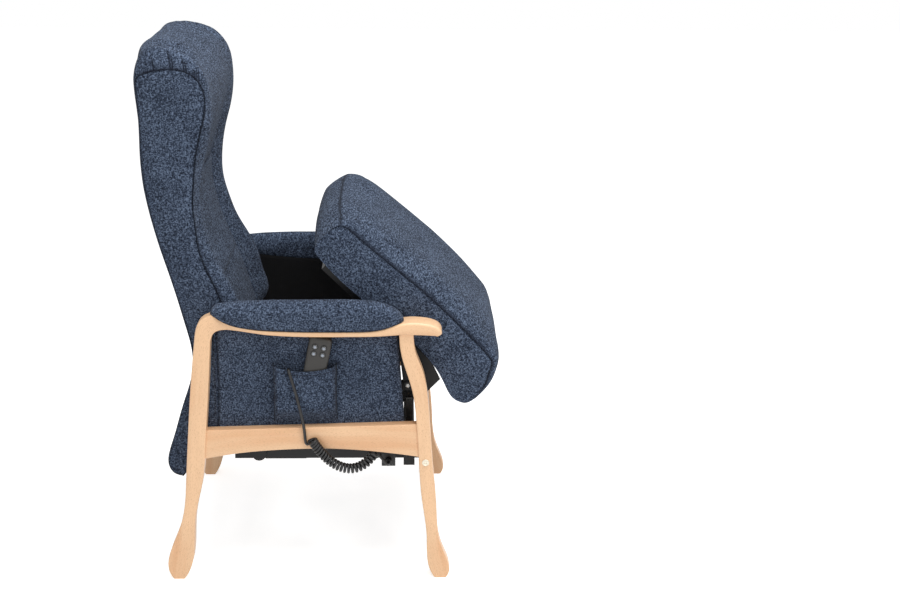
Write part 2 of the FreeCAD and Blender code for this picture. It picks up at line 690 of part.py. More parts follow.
def pocket_lip_cut():
    rear = FOOT_X - POCKET_REAR_BACK
    front = FOOT_X - POCKET_FRONT_BACK
    middle = (rear + front) / 2
    over = POCKET_LIP_Z + POCKET_DEPTH
    start = FreeCAD.Vector(rear, 0, POCKET_LIP_Z)
    end = FreeCAD.Vector(front, 0, POCKET_LIP_Z)
    low = FreeCAD.Vector(middle, 0, POCKET_LIP_Z - POCKET_SAG)
    edges = [Part.Arc(start, low, end).toShape()]
    edges += lines([end, FreeCAD.Vector(front, 0, over), FreeCAD.Vector(rear, 0, over), start])
    return slab(closed_face(edges), -RAIL_INNER - POCKET_DEPTH * 2, -RAIL_INNER)


def make_pocket():
    pocket = one_solid(pocket_shell().cut(pocket_lip_cut()))
    save("pocket", pocket)


# Handset
def handset_axes():
    lean = math.radians(HANDSET_LEAN_DEG)
    up = FreeCAD.Vector(math.sin(lean), 0, math.cos(lean))
    across = FreeCAD.Vector(math.cos(lean), 0, -math.sin(lean))
    return up, across


def handset_place(along, down):
    up, across = handset_axes()
    return at(HANDSET_X_BACK, HANDSET_TOP_Z) + across * along - up * down


def handset_inner():
    return RAIL_INNER + HANDSET_GAP


def handset_outer():
    return handset_inner() + HANDSET_THICKNESS


def button_centres():
    half = BUTTON_PITCH_X / 2
    rows = (BUTTON_FIRST_DOWN, BUTTON_FIRST_DOWN + BUTTON_PITCH_Z)
    return [handset_place(a, d) for d in rows for a in (-half, half)]


def handset_body():
    half = HANDSET_WIDTH / 2
    round_ = HANDSET_CORNER
    cut = round_ * (1 - math.sqrt(0.5))
    long = HANDSET_LENGTH
    corner = [
        (-half, round_), (-half + cut, cut), (-half + round_, 0),
        (half - round_, 0), (half - cut, cut), (half, round_),
        (half, long - round_), (half - cut, long - cut), (half - round_, long),
        (-half + round_, long), (-half + cut, long - cut), (-half, long - round_),
    ]
    p = [handset_place(a, d) for a, d in corner]
    edges = []
    for i in range(0, 12, 3):
        edges.append(Part.Arc(p[i], p[i + 1], p[i + 2]).toShape())
        edges += lines([p[i + 2], p[(i + 3) % 12]])
    body = slab(closed_face(edges), -handset_outer(), -handset_inner())
    rims = [e for e in body.Edges if abs(e.BoundBox.YMax - e.BoundBox.YMin) < HANDSET_EDGE]
    body = body.makeFillet(HANDSET_EDGE, rims)
    for centre in button_centres():
        radius = BUTTON_RADIUS + BUTTON_GAP
        body = body.cut(pin(centre, radius, -1, handset_outer() - BUTTON_WELL, handset_outer()))
    return body


def handset_button(centre):
    bottom = handset_outer() - BUTTON_WELL + BUTTON_TRAVEL + BUTTON_GAP
    top = handset_outer() + BUTTON_PROUD
    button = pin(centre, BUTTON_RADIUS, -1, bottom, top)
    rim = [e for e in button.Edges if abs(e.BoundBox.YMin + top) < BUTTON_GAP / 2]
    rim = [e for e in rim if e.BoundBox.YLength < BUTTON_GAP]
    return button.makeFillet(BUTTON_PROUD * 0.6, rim)


def make_handset():
    body = handset_body()
    end = handset_place(0, HANDSET_LENGTH)
    up, across = handset_axes()
    middle = (handset_inner() + handset_outer()) / 2
    start = FreeCAD.Vector(end.x, -middle, end.z)
    relief = rod(start + up * HANDSET_EDGE, start - up * RELIEF_LENGTH, RELIEF_RADIUS)
    save("handset_body", body)
    save("handset_relief", relief.cut(body))
    names = ("raise", "lower", "recline", "upright")
    for name, centre in zip(names, button_centres()):
        save("button_" + name, handset_button(centre))
    return start - up * RELIEF_LENGTH, up


# Pivots of the linkage
def pivots():
    return {
        "lift_base": at(LIFT_BASE_BACK, LIFT_BASE_Z),
        "seat": at(SEAT_PIVOT_BACK, SEAT_PIVOT_Z),
        "tilt": at(TILT_PIVOT_BACK, TILT_PIVOT_Z),
        "tilt_base": at(TILT_BASE_BACK, TILT_BASE_Z),
        "back": at(BACK_PIVOT_BACK, BACK_PIVOT_Z),
        "lift_act_base": at(LIFT_ACT_BASE_BACK, LIFT_ACT_BASE_Z),
        "lift_act_rod": lift_act_rod(),
        "back_act_base": at(BACK_ACT_BASE_BACK, BACK_ACT_BASE_Z),
        "back_act_rod": at(BACK_ACT_BACK, BACK_ACT_Z),
    }


def turned(point, centre, degrees):
    angle = math.radians(degrees)
    d = point - centre
    x = d.x * math.cos(angle) + d.z * math.sin(angle)
    z = -d.x * math.sin(angle) + d.z * math.cos(angle)
    return FreeCAD.Vector(centre.x + x, point.y, centre.z + z)


def lift_act_rod():
    base = at(LIFT_BASE_BACK, LIFT_BASE_Z)
    along = (at(SEAT_PIVOT_BACK, SEAT_PIVOT_Z) - base).normalize()
    return turned(base + along * LIFT_ACT_RADIUS, base, -LIFT_ACT_ANGLE_DEG)


def seat_at(point, share):
    p = pivots()
    carried = turned(p["seat"], p["lift_base"], LIFT_SWING_DEG * share)
    local = turned(point, p["seat"], -SEAT_RISE_DEG * share)
    return local + carried - p["seat"]


def bearing(base, point):
    return math.degrees(math.atan2(point.z - base.z, point.x - base.x))


def couplings():
    p = pivots()
    tilt_end = seat_at(p["tilt"], 1)
    rod_end = turned(p["lift_act_rod"], p["lift_base"], LIFT_SWING_DEG)
    back_end = turned(p["back_act_rod"], p["back"], -RECLINE_DEG)
    return {
        "tilt_swing": bearing(p["tilt_base"], p["tilt"]) - bearing(p["tilt_base"], tilt_end),
        "lift_act_swing": swing(p["lift_act_base"], p["lift_act_rod"], rod_end),
        "lift_act_slide": stroke(p["lift_act_base"], p["lift_act_rod"], rod_end),
        "back_act_swing": swing(p["back_act_base"], p["back_act_rod"], back_end),
        "back_act_slide": stroke(p["back_act_base"], p["back_act_rod"], back_end),
    }


def swing(base, start, end):
    change = bearing(base, start) - bearing(base, end)
    return (change + 180) % 360 - 180


def stroke(base, start, end):
    return (end - base).Length - (start - base).Length


# Planes of the linkage, outward from the bars
TILT_PLANE = BAR_OUTER + PLATE_THICKNESS + SIDE_GAP
LIFT_PLANE = TILT_PLANE + PLATE_THICKNESS + ARM_PLANE_GAP
BRACKET_PLANE = LIFT_PLANE + PLATE_THICKNESS + SIDE_GAP
BRACKET_OUTER = BRACKET_PLANE + PLATE_THICKNESS


def cross_bar(back):
    half = CROSS_BAR_WIDTH / 2
    inner = BAR_OUTER - BAR_WIDTH
    return bar(back + half, back - half, -inner, inner, BAR_BOTTOM, BAR_BOTTOM + BAR_HEIGHT)


def post_arm():
    half = CROSS_BAR_WIDTH / 2
    reach = POST_INNER + POST_THICKNESS
    top = BAR_BOTTOM + BAR_HEIGHT
    return bar(POST_CROSS_BACK + half, POST_CROSS_BACK - half, -reach, reach, BAR_BOTTOM, top)


def rear_ears(side):
    p = pivots()
    foot = at(LIFT_BASE_BACK, BAR_BOTTOM + EAR_FOOT_RISE)
    knee = at(REAR_EAR_TOP_BACK, REAR_EAR_TOP_Z)
    near, far = BAR_OUTER, BAR_OUTER + PLATE_THICKNESS
    low = link(foot, knee, REAR_EAR_HALF, side, near, far)
    high = link(knee, p["back"], BACK_EAR_HALF, side, near, far)
    boss = pin(p["lift_base"], PIN_HEAD_RADIUS, side, far, LIFT_PLANE - SIDE_GAP / 2)
    stud = pin(p["lift_base"], PIN_RADIUS, side, far, LIFT_PLANE + PLATE_THICKNESS)
    hinge = pin(p["back"], PIN_RADIUS, side, far, TILT_PLANE + PLATE_THICKNESS)
    return [low, high, boss, stud, hinge]


def tilt_ear(side):
    p = pivots()
    foot = at(TILT_BASE_BACK, BAR_BOTTOM + EAR_FOOT_RISE)
    near, far = BAR_OUTER, BAR_OUTER + PLATE_THICKNESS
    ear = link(foot, p["tilt_base"], TILT_EAR_HALF, side, near, far)
    stud = pin(p["tilt_base"], PIN_RADIUS, side, far, TILT_PLANE + PLATE_THICKNESS)
    return [ear, stud]


def end_plate(side):
    low, high = side_span(side, BAR_OUTER - BAR_WIDTH, BAR_OUTER)
    face = FRONT_RAIL_BACK + CROSS_RAIL_THICKNESS / 2
    top = BAR_BOTTOM + BAR_HEIGHT + END_PLATE_RISE
    return bar(face + PLATE_THICKNESS, face, low, high, BAR_BOTTOM, top)


def rail_tab(side):
    low, high = side_span(side, BAR_OUTER - TAB_LENGTH, BAR_OUTER + PLATE_THICKNESS)
    face = REAR_RAIL_BACK - CROSS_RAIL_THICKNESS / 2
    bottom = BAR_BOTTOM + BAR_HEIGHT / 2
    top = REAR_RAIL_BOTTOM + REAR_RAIL_HEIGHT - TAB_RISE
    return bar(face, face - TAB_THICKNESS, low, high, bottom, top)


def side_bar(side):
    low, high = side_span(side, BAR_OUTER - BAR_WIDTH, BAR_OUTER)
    front = FRONT_RAIL_BACK + CROSS_RAIL_THICKNESS / 2
    top = BAR_BOTTOM + BAR_HEIGHT
    return bar(BAR_REAR_BACK, front, low, high, BAR_BOTTOM, top)


def clevis_ear(foot, point, y, gap):
    near = abs(y) - gap / 2
    side = 1 if y > 0 else -1
    inner = link(foot, point, LEVER_HALF, side, near - PLATE_THICKNESS, near)
    far = abs(y) + gap / 2
    outer = link(foot, point, LEVER_HALF, side, far, far + PLATE_THICKNESS)
    return [inner, outer]


def clevis_pin(point, y, gap):
    reach = gap / 2 + PLATE_THICKNESS
    side = 1 if y > 0 else -1
    return pin(point, ACT_PIN_RADIUS, side, abs(y) - reach, abs(y) + reach)


def make_base():
    p = pivots()
    parts = [post_arm(), cross_bar(MIDDLE_CROSS_BACK), cross_bar(LIFT_BASE_BACK)]
    for _, side in SIDES:
        parts += [side_bar(side), end_plate(side), rail_tab(side)]
        parts += rear_ears(side) + tilt_ear(side)
    foot = at(MIDDLE_CROSS_BACK, BAR_BOTTOM + EAR_FOOT_RISE)
    parts += clevis_ear(foot, p["lift_act_base"], LIFT_ACT_Y, CLEVIS_GAP)
    parts += [clevis_pin(p["lift_act_base"], LIFT_ACT_Y, CLEVIS_GAP)]
    parts += clevis_ear(foot, p["back_act_base"], BACK_ACT_Y, CLEVIS_GAP)
    parts += [clevis_pin(p["back_act_base"], BACK_ACT_Y, CLEVIS_GAP)]
    save("base_frame", join(parts))


def make_posts():
    half = POST_WIDTH / 2
    back = POST_CROSS_BACK
    outer = POST_INNER + POST_THICKNESS
    foot = BAR_BOTTOM + BAR_HEIGHT
    post = bar(back + half, back - half, -outer, -POST_INNER, foot, POST_TOP)
    cap = bar(back + half, back - half, -outer, -POST_INNER, POST_TOP, POST_TOP + POST_CAP)
    save_pair("rest_post", post)
    save_pair("post_cap", cap)


# Lift arms, tilt links
def bored(shape, centre, radius):
    reach = FRAME_WIDTH
    return shape.cut(pin(centre, radius, 1, -reach, reach))


def make_lift_arms():
    p = pivots()
    far = LIFT_PLANE + PLATE_THICKNESS
    along = (p["seat"] - p["lift_base"]).normalize()
    tube_at = p["lift_base"] + along * LIFT_TUBE_REACH
    parts = []
    for _, side in SIDES:
        arm = link(p["lift_base"], p["seat"], LINK_HALF, side, LIFT_PLANE, far)
        arm = bored(arm, p["lift_base"], PIN_RADIUS + PIN_CLEARANCE)
        parts.append(bored(arm, p["seat"], PIN_RADIUS + PIN_CLEARANCE))
    parts.append(pin(tube_at, CROSS_TUBE_RADIUS, 1, -LIFT_PLANE, LIFT_PLANE))
    parts += clevis_ear(tube_at, p["lift_act_rod"], LIFT_ACT_Y, LEVER_FORK_GAP)
    parts.append(clevis_pin(p["lift_act_rod"], LIFT_ACT_Y, LEVER_FORK_GAP))
    save("lift_arms", join(parts))


def make_tilt_links():
    p = pivots()
    near, far = TILT_PLANE, TILT_PLANE + PLATE_THICKNESS
    arm = link(p["tilt_base"], p["tilt"], TILT_LINK_HALF, -1, near, far)
    arm = bored(arm, p["tilt_base"], PIN_RADIUS + PIN_CLEARANCE)
    arm = bored(arm, p["tilt"], PIN_RADIUS + OPEN_PIVOT_CLEARANCE)
    save_pair("tilt_link", arm)


# Seat
def seat_axes():
    angle = math.radians(SEAT_RISE_DEG)
    along = FreeCAD.Vector(math.cos(angle), 0, -math.sin(angle))
    square = FreeCAD.Vector(math.sin(angle), 0, math.cos(angle))
    return along, square


def seat_place(a, p, y=0.0):
    along, square = seat_axes()
    return at(SEAT_DATUM_BACK, SEAT_DATUM_Z) + along * a + square * p + ACROSS * y


def seat_wire(station, crown_share):
    draw = SEAT_DRAW_IN * max(0.0, (abs(station) - 0.9) / 0.1) ** 2
    first, last = SEAT_TOP_INDEX
    points = []
    shares = SEAT_PROFILE_SHARES
    a_middle = sum(s[0] for s in shares) / len(shares) * SEAT_DEPTH
    p_middle = sum(s[1] for s in shares) / len(shares) * SEAT_DEPTH
    for i, share in enumerate(shares):
        a, p = share[0] * SEAT_DEPTH, share[1] * SEAT_DEPTH
        lift = SEAT_CROWN * crown_share
        if first <= i <= last:
            p += lift * (0.6 if i in (first, last) else 1.0 if i == 11 else 0.85)
        if 5 <= i <= 8:
            a += lift * 0.5
        a -= math.copysign(draw, a - a_middle)
        p -= draw if p > p_middle else 0
        points.append(seat_place(a, p, station * SEAT_WIDTH / 2))
    points.append(points[0])
    return Part.Wire(arcs(points))


def make_cushion():
    wires = [seat_wire(s, c) for s, c in zip(SEAT_STATION_SHARES, SEAT_CROWN_SHARES)]
    cushion = Part.makeLoft(wires, True, False)
    save("seat_cushion", cushion)


def seat_prism(points, low, high):
    return slab(closed_face(lines([seat_place(a, p) for a, p in points + points[:1]])), low, high)


def seat_box(a_low, a_high, p_low, p_high, y_low, y_high):
    points = [(a_low, p_low), (a_high, p_low), (a_high, p_high), (a_low, p_high)]
    return seat_prism(points, y_low, y_high)


def make_seat_board():
    half = SEAT_BOARD_HALF
    top = -SEAT_SOFT_GAP
    board = seat_box(-SEAT_BOARD_REAR, SEAT_BOARD_FRONT, top - SEAT_BOARD, top, -half, half)
    save("seat_board", board)
    return top - SEAT_BOARD


def bracket(side, top):
    p = pivots()
    near, far = BRACKET_PLANE, BRACKET_OUTER
    along, square = seat_axes()
    datum = at(SEAT_DATUM_BACK, SEAT_DATUM_Z)
    e = p["seat"] - datum
    f = p["tilt"] - datum
    e_a, e_p = e.dot(along), e.dot(square)
    f_a, f_p = f.dot(along), f.dot(square)
    half = BRACKET_HALF
    points = [
        (e_a - BRACKET_REACH, top), (e_a - BRACKET_REACH, top - SEAT_BAR_DEPTH),
        (e_a - half, e_p), (e_a, e_p - half), (f_a, f_p - half),
        (f_a + half, f_p), (f_a + half, top - SEAT_BAR_DEPTH), (SEAT_BAR_FRONT, top),
    ]
    low, high = side_span(side, near, far)
    plate = seat_prism(points, low, high)
    seat_end = pin(p["seat"], half, side, near, far)
    tilt_end = pin(p["tilt"], half, side, near, far)
    e_pin = pin(p["seat"], PIN_RADIUS, side, LIFT_PLANE, near)
    e_head = pin(p["seat"], PIN_HEAD_RADIUS, side, far, far + PIN_HEAD)
    boss_end = TILT_PLANE + PLATE_THICKNESS + SIDE_GAP
    f_boss = pin(p["tilt"], PIN_HEAD_RADIUS, side, boss_end, near)
    f_pin = pin(p["tilt"], PIN_RADIUS, side, TILT_PLANE, boss_end)
    return [plate, seat_end, tilt_end, e_pin, f_boss, f_pin], e_head


def make_seat_frame(top):
    width, depth = SEAT_BAR_WIDTH, SEAT_BAR_DEPTH
    parts = []
    heads = []
    for _, side in SIDES:
        low, high = side_span(side, BRACKET_OUTER - width, BRACKET_OUTER)
        parts.append(seat_box(-SEAT_BAR_REAR, SEAT_BAR_FRONT, top - depth, top, low, high))
        plates, head = bracket(side, top)
        parts += plates
        heads.append(head)
    inner = BRACKET_OUTER - width
    for start in (-SEAT_BAR_REAR, -width * 2):
        parts.append(seat_box(start, start + width, top - depth, top, -inner, inner))
    save("seat_frame", join(parts))
    save("right_pivot_bolt", heads[0])
    save("left_pivot_bolt", heads[1])


# Actuators
def actuator(name, base, end, y, tube_length):
    start = FreeCAD.Vector(base.x, y, base.z)
    finish = FreeCAD.Vector(end.x, y, end.z)
    along = (finish - start).normalize()
    half = ACT_EYE_WIDTH / 2
    side = 1 if y > 0 else -1
    near, far = abs(y) - half, abs(y) + half
    eye = pin(start, ACT_EYE_RADIUS, side, near, far)
    neck = rod(start, start + along * (ACT_TUBE_START + half), ACT_ROD_RADIUS)
    first = start + along * ACT_TUBE_START
    tube = rod(first, first + along * tube_length, ACT_TUBE_RADIUS)
    motor = rod(first, first + along * ACT_MOTOR_LENGTH, ACT_MOTOR_RADIUS)
    body = join([eye, neck, tube, motor])
    body = bored(body, start, ACT_PIN_RADIUS + PIN_CLEARANCE)
    tail = first + along * (ACT_MOTOR_LENGTH * 0.4)
    bore = ACT_ROD_RADIUS + ACT_ROD_CLEARANCE
    body = body.cut(rod(tail, first + along * (tube_length + half), bore))
    save(name + "_body", one_solid(body))
    travel = abs(stroke_of(name))
    rod_start = tail + along * (ACT_ROD_TAIL_GAP + travel_room(name, travel))
    stem = rod(rod_start, finish, ACT_ROD_RADIUS)
    rod_eye = pin(finish, ACT_EYE_RADIUS, side, near, far)
    piston = join([stem, rod_eye])
    piston = bored(piston, finish, ACT_PIN_RADIUS + ACT_OPEN_CLEARANCE)
    save(name + "_rod", one_solid(piston))


def stroke_of(name):
    c = couplings()
    return c["lift_act_slide"] if name == "lift_actuator" else c["back_act_slide"]


def travel_room(name, travel):
    return travel if stroke_of(name) < 0 else 0


def make_actuators():
    p = pivots()
    actuator("lift_actuator", p["lift_act_base"], p["lift_act_rod"], LIFT_ACT_Y, LIFT_ACT_TUBE_LENGTH)
    actuator("back_actuator", p["back_act_base"], p["back_act_rod"], BACK_ACT_Y, BACK_ACT_TUBE_LENGTH)


# Back: the part above the arms takes up a change of the overall height
def back_placed(shares, y=0.0):
    extra = OVERALL_HEIGHT - DRAWN_HEIGHT
    points = placed(shares, DRAWN_HEIGHT, y)
    for point, share in zip(points, shares):
        point.z += extra * max(0.0, share[1] - BACK_STRETCH_SHARE) / (1 - BACK_STRETCH_SHARE)
    return points


def back_wire(station):
    y = station * BACK_WIDTH / 2
    where = abs(station)
    if where > 0.97:
        top, front = SIDE_TOP_SHARES, SIDE_FRONT_SHARES
    elif where > 0.9:
        top, front = FOLD_TOP_SHARES, FOLD_FRONT_SHARES
    elif where > 0.75:
        top, front = BOLSTER_TOP_SHARES, BOLSTER_FRONT_SHARES
    else:
        top, front = CENTRE_TOP_SHARES, CENTRE_FRONT_SHARES
    edges = arcs(back_placed(BACK_REAR_SHARES, y))
    edges += arcs(back_placed(top, y))
    edges += arcs(back_placed(front, y))
    under = front[-1:] + BACK_UNDER_SHARES + BACK_REAR_SHARES[:1]
    edges += lines(back_placed(under, y))
    return Part.Wire(edges)


def recess_face(setback):
    front = back_placed(CENTRE_FRONT_SHARES[4:])
    inner = [p - AHEAD * setback for p in front]
    ahead = [p + AHEAD * CENTRE_PAD_DEPTH * 3 for p in (front[-1], front[0])]
    return closed_face(arcs(inner) + lines([inner[-1]] + ahead + [inner[0]]))


def pad_wire(y, proud):
    front = back_placed(CENTRE_FRONT_SHARES[4:], y)
    inset = UP * CENTRE_PAD_GAP
    back = [p - AHEAD * (CENTRE_PAD_DEPTH - CENTRE_PAD_GAP) for p in front]
    back = [back[0] - inset] + back[1:-1] + [back[-1] + inset]
    face = [p + AHEAD * proud for p in front]
    face = [face[0] - inset - AHEAD * proud] + face[1:-1] + [face[-1] + inset - AHEAD * proud]
    edges = arcs(back) + lines([back[-1], face[-1]])
    edges += arcs(face[::-1]) + lines([face[0], back[0]])
    return Part.Wire(edges)


def make_back():
    whole = Part.makeLoft([back_wire(s) for s in BACK_STATION_SHARES], True, False)
    half = CENTRE_PAD_HALF
    body = whole.cut(slab(recess_face(CENTRE_PAD_DEPTH), -half, half))
    save("back_body", one_solid(body))
    reach = half - CENTRE_PAD_GAP
    stations = ((-1, -1.2), (-0.93, 0.0), (-0.5, 0.9), (0, 1), (0.5, 0.9), (0.93, 0.0), (1, -1.2))
    wires = [pad_wire(reach * s, CENTRE_PAD_CROWN * c) for s, c in stations]
    save("back_centre_pad", Part.makeLoft(wires, True, False))


def tail_front(z):
    top = back_placed(BACK_UNDER_SHARES[1:2])[0]
    low = back_placed(BACK_UNDER_SHARES[2:3])[0]
    share = (z - low.z) / (top.z - low.z)
    return low + (top - low) * share


def make_back_frame():
    p = pivots()
    top, low = tail_front(BACK_BOARD_TOP_Z), tail_front(BACK_BOARD_BOTTOM_Z)
    slope = (top - low).normalize()
    out = FreeCAD.Vector(slope.z, 0, -slope.x)
    points = [low, top, top + out * BACK_BOARD, low + out * BACK_BOARD]
    half = BACK_BOARD_HALF
    parts = [slab(closed_face(lines(points + points[:1])), -half, half)]
    root = top - slope * BACK_EAR_HALF + out * BACK_EAR_HALF
    for _, side in SIDES:
        ear = link(root, p["back"], BACK_EAR_HALF, side, TILT_PLANE, TILT_PLANE + PLATE_THICKNESS)
        parts.append(bored(ear, p["back"], PIN_RADIUS + PIN_CLEARANCE))
    seat = tail_front(BACK_ACT_Z) + out * BACK_BOARD
    parts += clevis_ear(seat + out * LEVER_HALF, p["back_act_rod"], BACK_ACT_Y, CLEVIS_GAP)
    parts.append(clevis_pin(p["back_act_rod"], BACK_ACT_Y, CLEVIS_GAP))
    keep = slab(closed_face(tail_space(out)), -BACK_WIDTH, BACK_WIDTH)
    save("back_frame", join([one_solid(q.common(keep)) for q in parts]))


def tail_space(out):
    top, low = tail_front(BACK_PIVOT_Z * 2), tail_front(0)
    reach = out * BACK_WIDTH
    points = [low, top, top + reach, low + reach]
    return lines(points + points[:1])


def make_trim():
    rear = back_placed(BACK_REAR_SHARES[:1])[0]
    front = back_placed(BACK_UNDER_SHARES[-1:])[0]
    along = (front - rear).normalize()
    down = FreeCAD.Vector(along.z, 0, -along.x) * TRIM_THICKNESS
    points = [rear, front, front + down, rear + down]
    half = BACK_WIDTH / 2
    save("back_trim", slab(closed_face(lines(points + points[:1])), -half, half))


# Cord: straight drop, curls, tail
def unit(v):
    return v * (1 / v.Length)


def cord_point(p):
    back, up, out = p
    share = POCKET_LIP_Z / CORD_DRAWN_LIP_Z
    return FreeCAD.Vector(FOOT_X + back * share, CORD_DRAWN_OUTER - LEG_OUTER - out, up * share)


def route_wire(points):
    edges = []
    radii = []
    last = points[0]
    for a, b, c in zip(points, points[1:], points[2:]):
        u, v = unit(b - a), unit(c - b)
        turn = u.getAngle(v)
        shorter = min((b - a).Length, (c - b).Length)
        radius = 0.45 * shorter / math.tan(turn / 2)
        radii.append(radius)
        cut = 0.45 * shorter
        start, end = b - u * cut, b + v * cut
        bisector = unit(v - u)
        middle = b + bisector * (radius / math.cos(turn / 2) - radius)
        edges.append(Part.LineSegment(last, start).toShape())
        edges.append(Part.Arc(start, middle, end).toShape())
        last = end
    edges.append(Part.LineSegment(last, points[-1]).toShape())
    return Part.Wire(edges), radii


def cord_tube(name, points):
    wire, radii = route_wire(points)
    along = unit(points[1] - points[0])
    circle = Part.makeCircle(CORD_DIAMETER / 2, points[0], along)
    tube = wire.makePipeShell([Part.Wire([circle])], True, False)
    tube = Part.Solid(tube) if not tube.Solids else tube.Solids[0]
    section = math.pi * (CORD_DIAMETER / 2) ** 2
    print(name, "length", round(wire.Length, 1), "radii", [round(r, 1) for r in radii])
    print(name, "volume share", round(tube.Volume / (section * wire.Length), 4))
    save(name, tube)
    return wire.Length


def coil_axis(share):
    a, b, c, d = [cord_point((p[0], p[2], p[1])) for p in COIL_AXIS]
    t, r = share, 1 - share
    return a * r ** 3 + b * (3 * r * r * t) + c * (3 * r * t * t) + d * t ** 3


def coil_frames(count):
    points = [coil_axis(i / count) for i in range(count + 1)]
    frames = []
    normal = ACROSS
    for i, p in enumerate(points):
        ahead = points[min(i + 1, count)] - points[max(i - 1, 0)]
        ahead = unit(ahead)
        normal = unit(normal - ahead * normal.dot(ahead))
        frames.append((p, normal, ahead.cross(normal)))
    return frames


def coil_points(per_turn):
    count = COIL_QUARTERS * per_turn // 4
    frames = coil_frames(count)
    radius = (COIL_DIAMETER - CORD_DIAMETER) / 2
    points = []
    for i, frame in enumerate(frames):
        angle = 2 * math.pi * i / per_turn
        p, normal, side = frame
        points.append(p + normal * (radius * math.cos(angle)) + side * (radius * math.sin(angle)))
    return points


def arc_from(a, tangent, b):
    chord = b - a
    half = chord.Length / 2
    along = unit(chord)
    swing_ = tangent.getAngle(along)
    rise = unit(tangent - along * tangent.dot(along))
    return Part.Arc(a, a + chord * 0.5 + rise * (half * math.tan(swing_ / 2)), b).toShape()


def biarc(a, ta, b, tb):
    v = b - a
    t = ta + tb
    k = 2 * (1 - ta.dot(tb))
    vt = v.dot(t)
    d = (-vt + math.sqrt(vt * vt + k * v.dot(v))) / k
    joint = (a + b + (ta - tb) * d) * 0.5
    first = arc_from(a, ta, joint)
    back = arc_from(b, tb * -1, joint)
    turned_back = Part.Arc(joint, back.valueAt((back.FirstParameter + back.LastParameter) / 2), b)
    return [first, turned_back.toShape()]


def coil_gap(points, per_turn):
    least = None
    for i, p in enumerate(points):
        for q in points[i + per_turn // 2:i + per_turn * 2]:
            gap = (q - p).Length
            least = gap if least is None or gap < least else least
    return least - CORD_DIAMETER


def coil_tangents(points, fine, step):
    tangents = []
    for i in range(0, len(fine), step):
        low, high = max(i - 1, 0), min(i + 1, len(fine) - 1)
        tangents.append(unit(fine[high] - fine[low]))
    return tangents


def make_coil():
    fine_turn, quarter = 96, 24
    fine = coil_points(fine_turn)
    points = fine[::quarter]
    tangents = coil_tangents(points, fine, quarter)
    lead = CORD_DIAMETER
    edges = [Part.LineSegment(points[0] - tangents[0] * lead, points[0]).toShape()]
    for i in range(len(points) - 1):
        edges += biarc(points[i], tangents[i], points[i + 1], tangents[i + 1])
    edges.append(Part.LineSegment(points[-1], points[-1] + tangents[-1] * lead).toShape())
    wire = Part.Wire(edges)
    print("coil length", round(wire.Length, 1), "least gap", round(coil_gap(fine, fine_turn), 2))
    profile = ring(points[0] - tangents[0] * lead, tangents[0])
    coil = wire.makePipeShell([profile], True, False)
    coil = coil.Solids[0] if coil.Solids else Part.Solid(coil)
    print("coil volume share", round(coil.Volume / (Part.Face(profile).Area * wire.Length), 4))
    save("cord_coil", coil)
    return points[0] - tangents[0] * lead, tangents[0], points[-1] + tangents[-1] * lead, tangents[-1]


def ring(centre, normal):
    side = unit(normal.cross(UP))
    other = normal.cross(side)
    radius = CORD_DIAMETER / 2
    corners = []
    for i in range(CORD_SIDES + 1):
        angle = 2 * math.pi * i / CORD_SIDES
        corners.append(centre + side * (radius * math.cos(angle)) + other * (radius * math.sin(angle)))
    corners[-1] = corners[0]
    return Part.Wire(lines(corners))


def make_box_and_plug():
    face = BAR_OUTER + BOX_DEPTH
    back = BOX_FRONT_BACK + BOX_LENGTH
    box = bar(back, BOX_FRONT_BACK, -face, -BAR_OUTER, BOX_BOTTOM, BOX_BOTTOM + BOX_HEIGHT)
    centre = at(BOX_FRONT_BACK + BOX_LENGTH / 2, BOX_BOTTOM + BOX_HEIGHT / 2)
    socket = pin(centre, PLUG_NECK_RADIUS, -1, face - INLET_DEPTH, face)
    save("cord_socket", box.cut(socket))
    head = pin(centre, PLUG_RADIUS, -1, face, face + PLUG_LENGTH)
    neck = pin(centre, PLUG_NECK_RADIUS, -1, face + PLUG_LENGTH, face + PLUG_LENGTH + PLUG_NECK)
    save("cord_plug", join([head, neck]))
    return FreeCAD.Vector(centre.x, -face - PLUG_LENGTH - PLUG_NECK, centre.z)


def make_power_box():
    half = POWER_WIDTH / 2
    front = POWER_BACK - POWER_LENGTH / 2
    rear = POWER_BACK + POWER_LENGTH / 2
    inner = BAR_OUTER - BAR_WIDTH
    low = BAR_BOTTOM - (POWER_HEIGHT - BAR_HEIGHT)
    box = bar(rear, front, -inner, -inner + POWER_WIDTH, low, low + POWER_HEIGHT)
    middle = -inner + half
    base = low + (POWER_HEIGHT - INLET_HEIGHT) / 2
    mouth = INLET_LENGTH / 2
    inlet = bar(rear, rear - INLET_DEPTH, middle - mouth, middle + mouth, base, base + INLET_HEIGHT)
    save("power_box", box.cut(inlet))


def make_cord():
    relief_end, up = make_handset()
    plug_end = make_box_and_plug()
    start, start_way, end, end_way = make_coil()
    drop = [relief_end, relief_end - up * CORD_DIAMETER * 1.5]
    drop += [cord_point(p) for p in CORD_DROP]
    drop += [start - start_way * CORD_DIAMETER, start]
    cord_tube("cord_drop", drop)
    run = COIL_DIAMETER * 0.55
    middle = (end + plug_end) * 0.5
    cord_tube("cord_tail", [end, end + end_way * run, middle, plug_end - ACROSS * run, plug_end])


def main():
    arm, rail = make_wood()
    make_panels(arm, rail)
    make_pads()
    make_pocket()
    make_cord()
    make_power_box()
    make_base()
    make_posts()
    make_lift_arms()
    make_tilt_links()
    make_cushion()
    make_seat_frame(make_seat_board())
    make_actuators()
    make_back()
    make_back_frame()
    make_trim()
    print("couplings", {k: round(v, 4) for k, v in couplings().items()})


main()
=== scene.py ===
"""Looks of the lift chair, built around its packed frame. Lengths are metres unless a name or table says
millimetres."""

import math

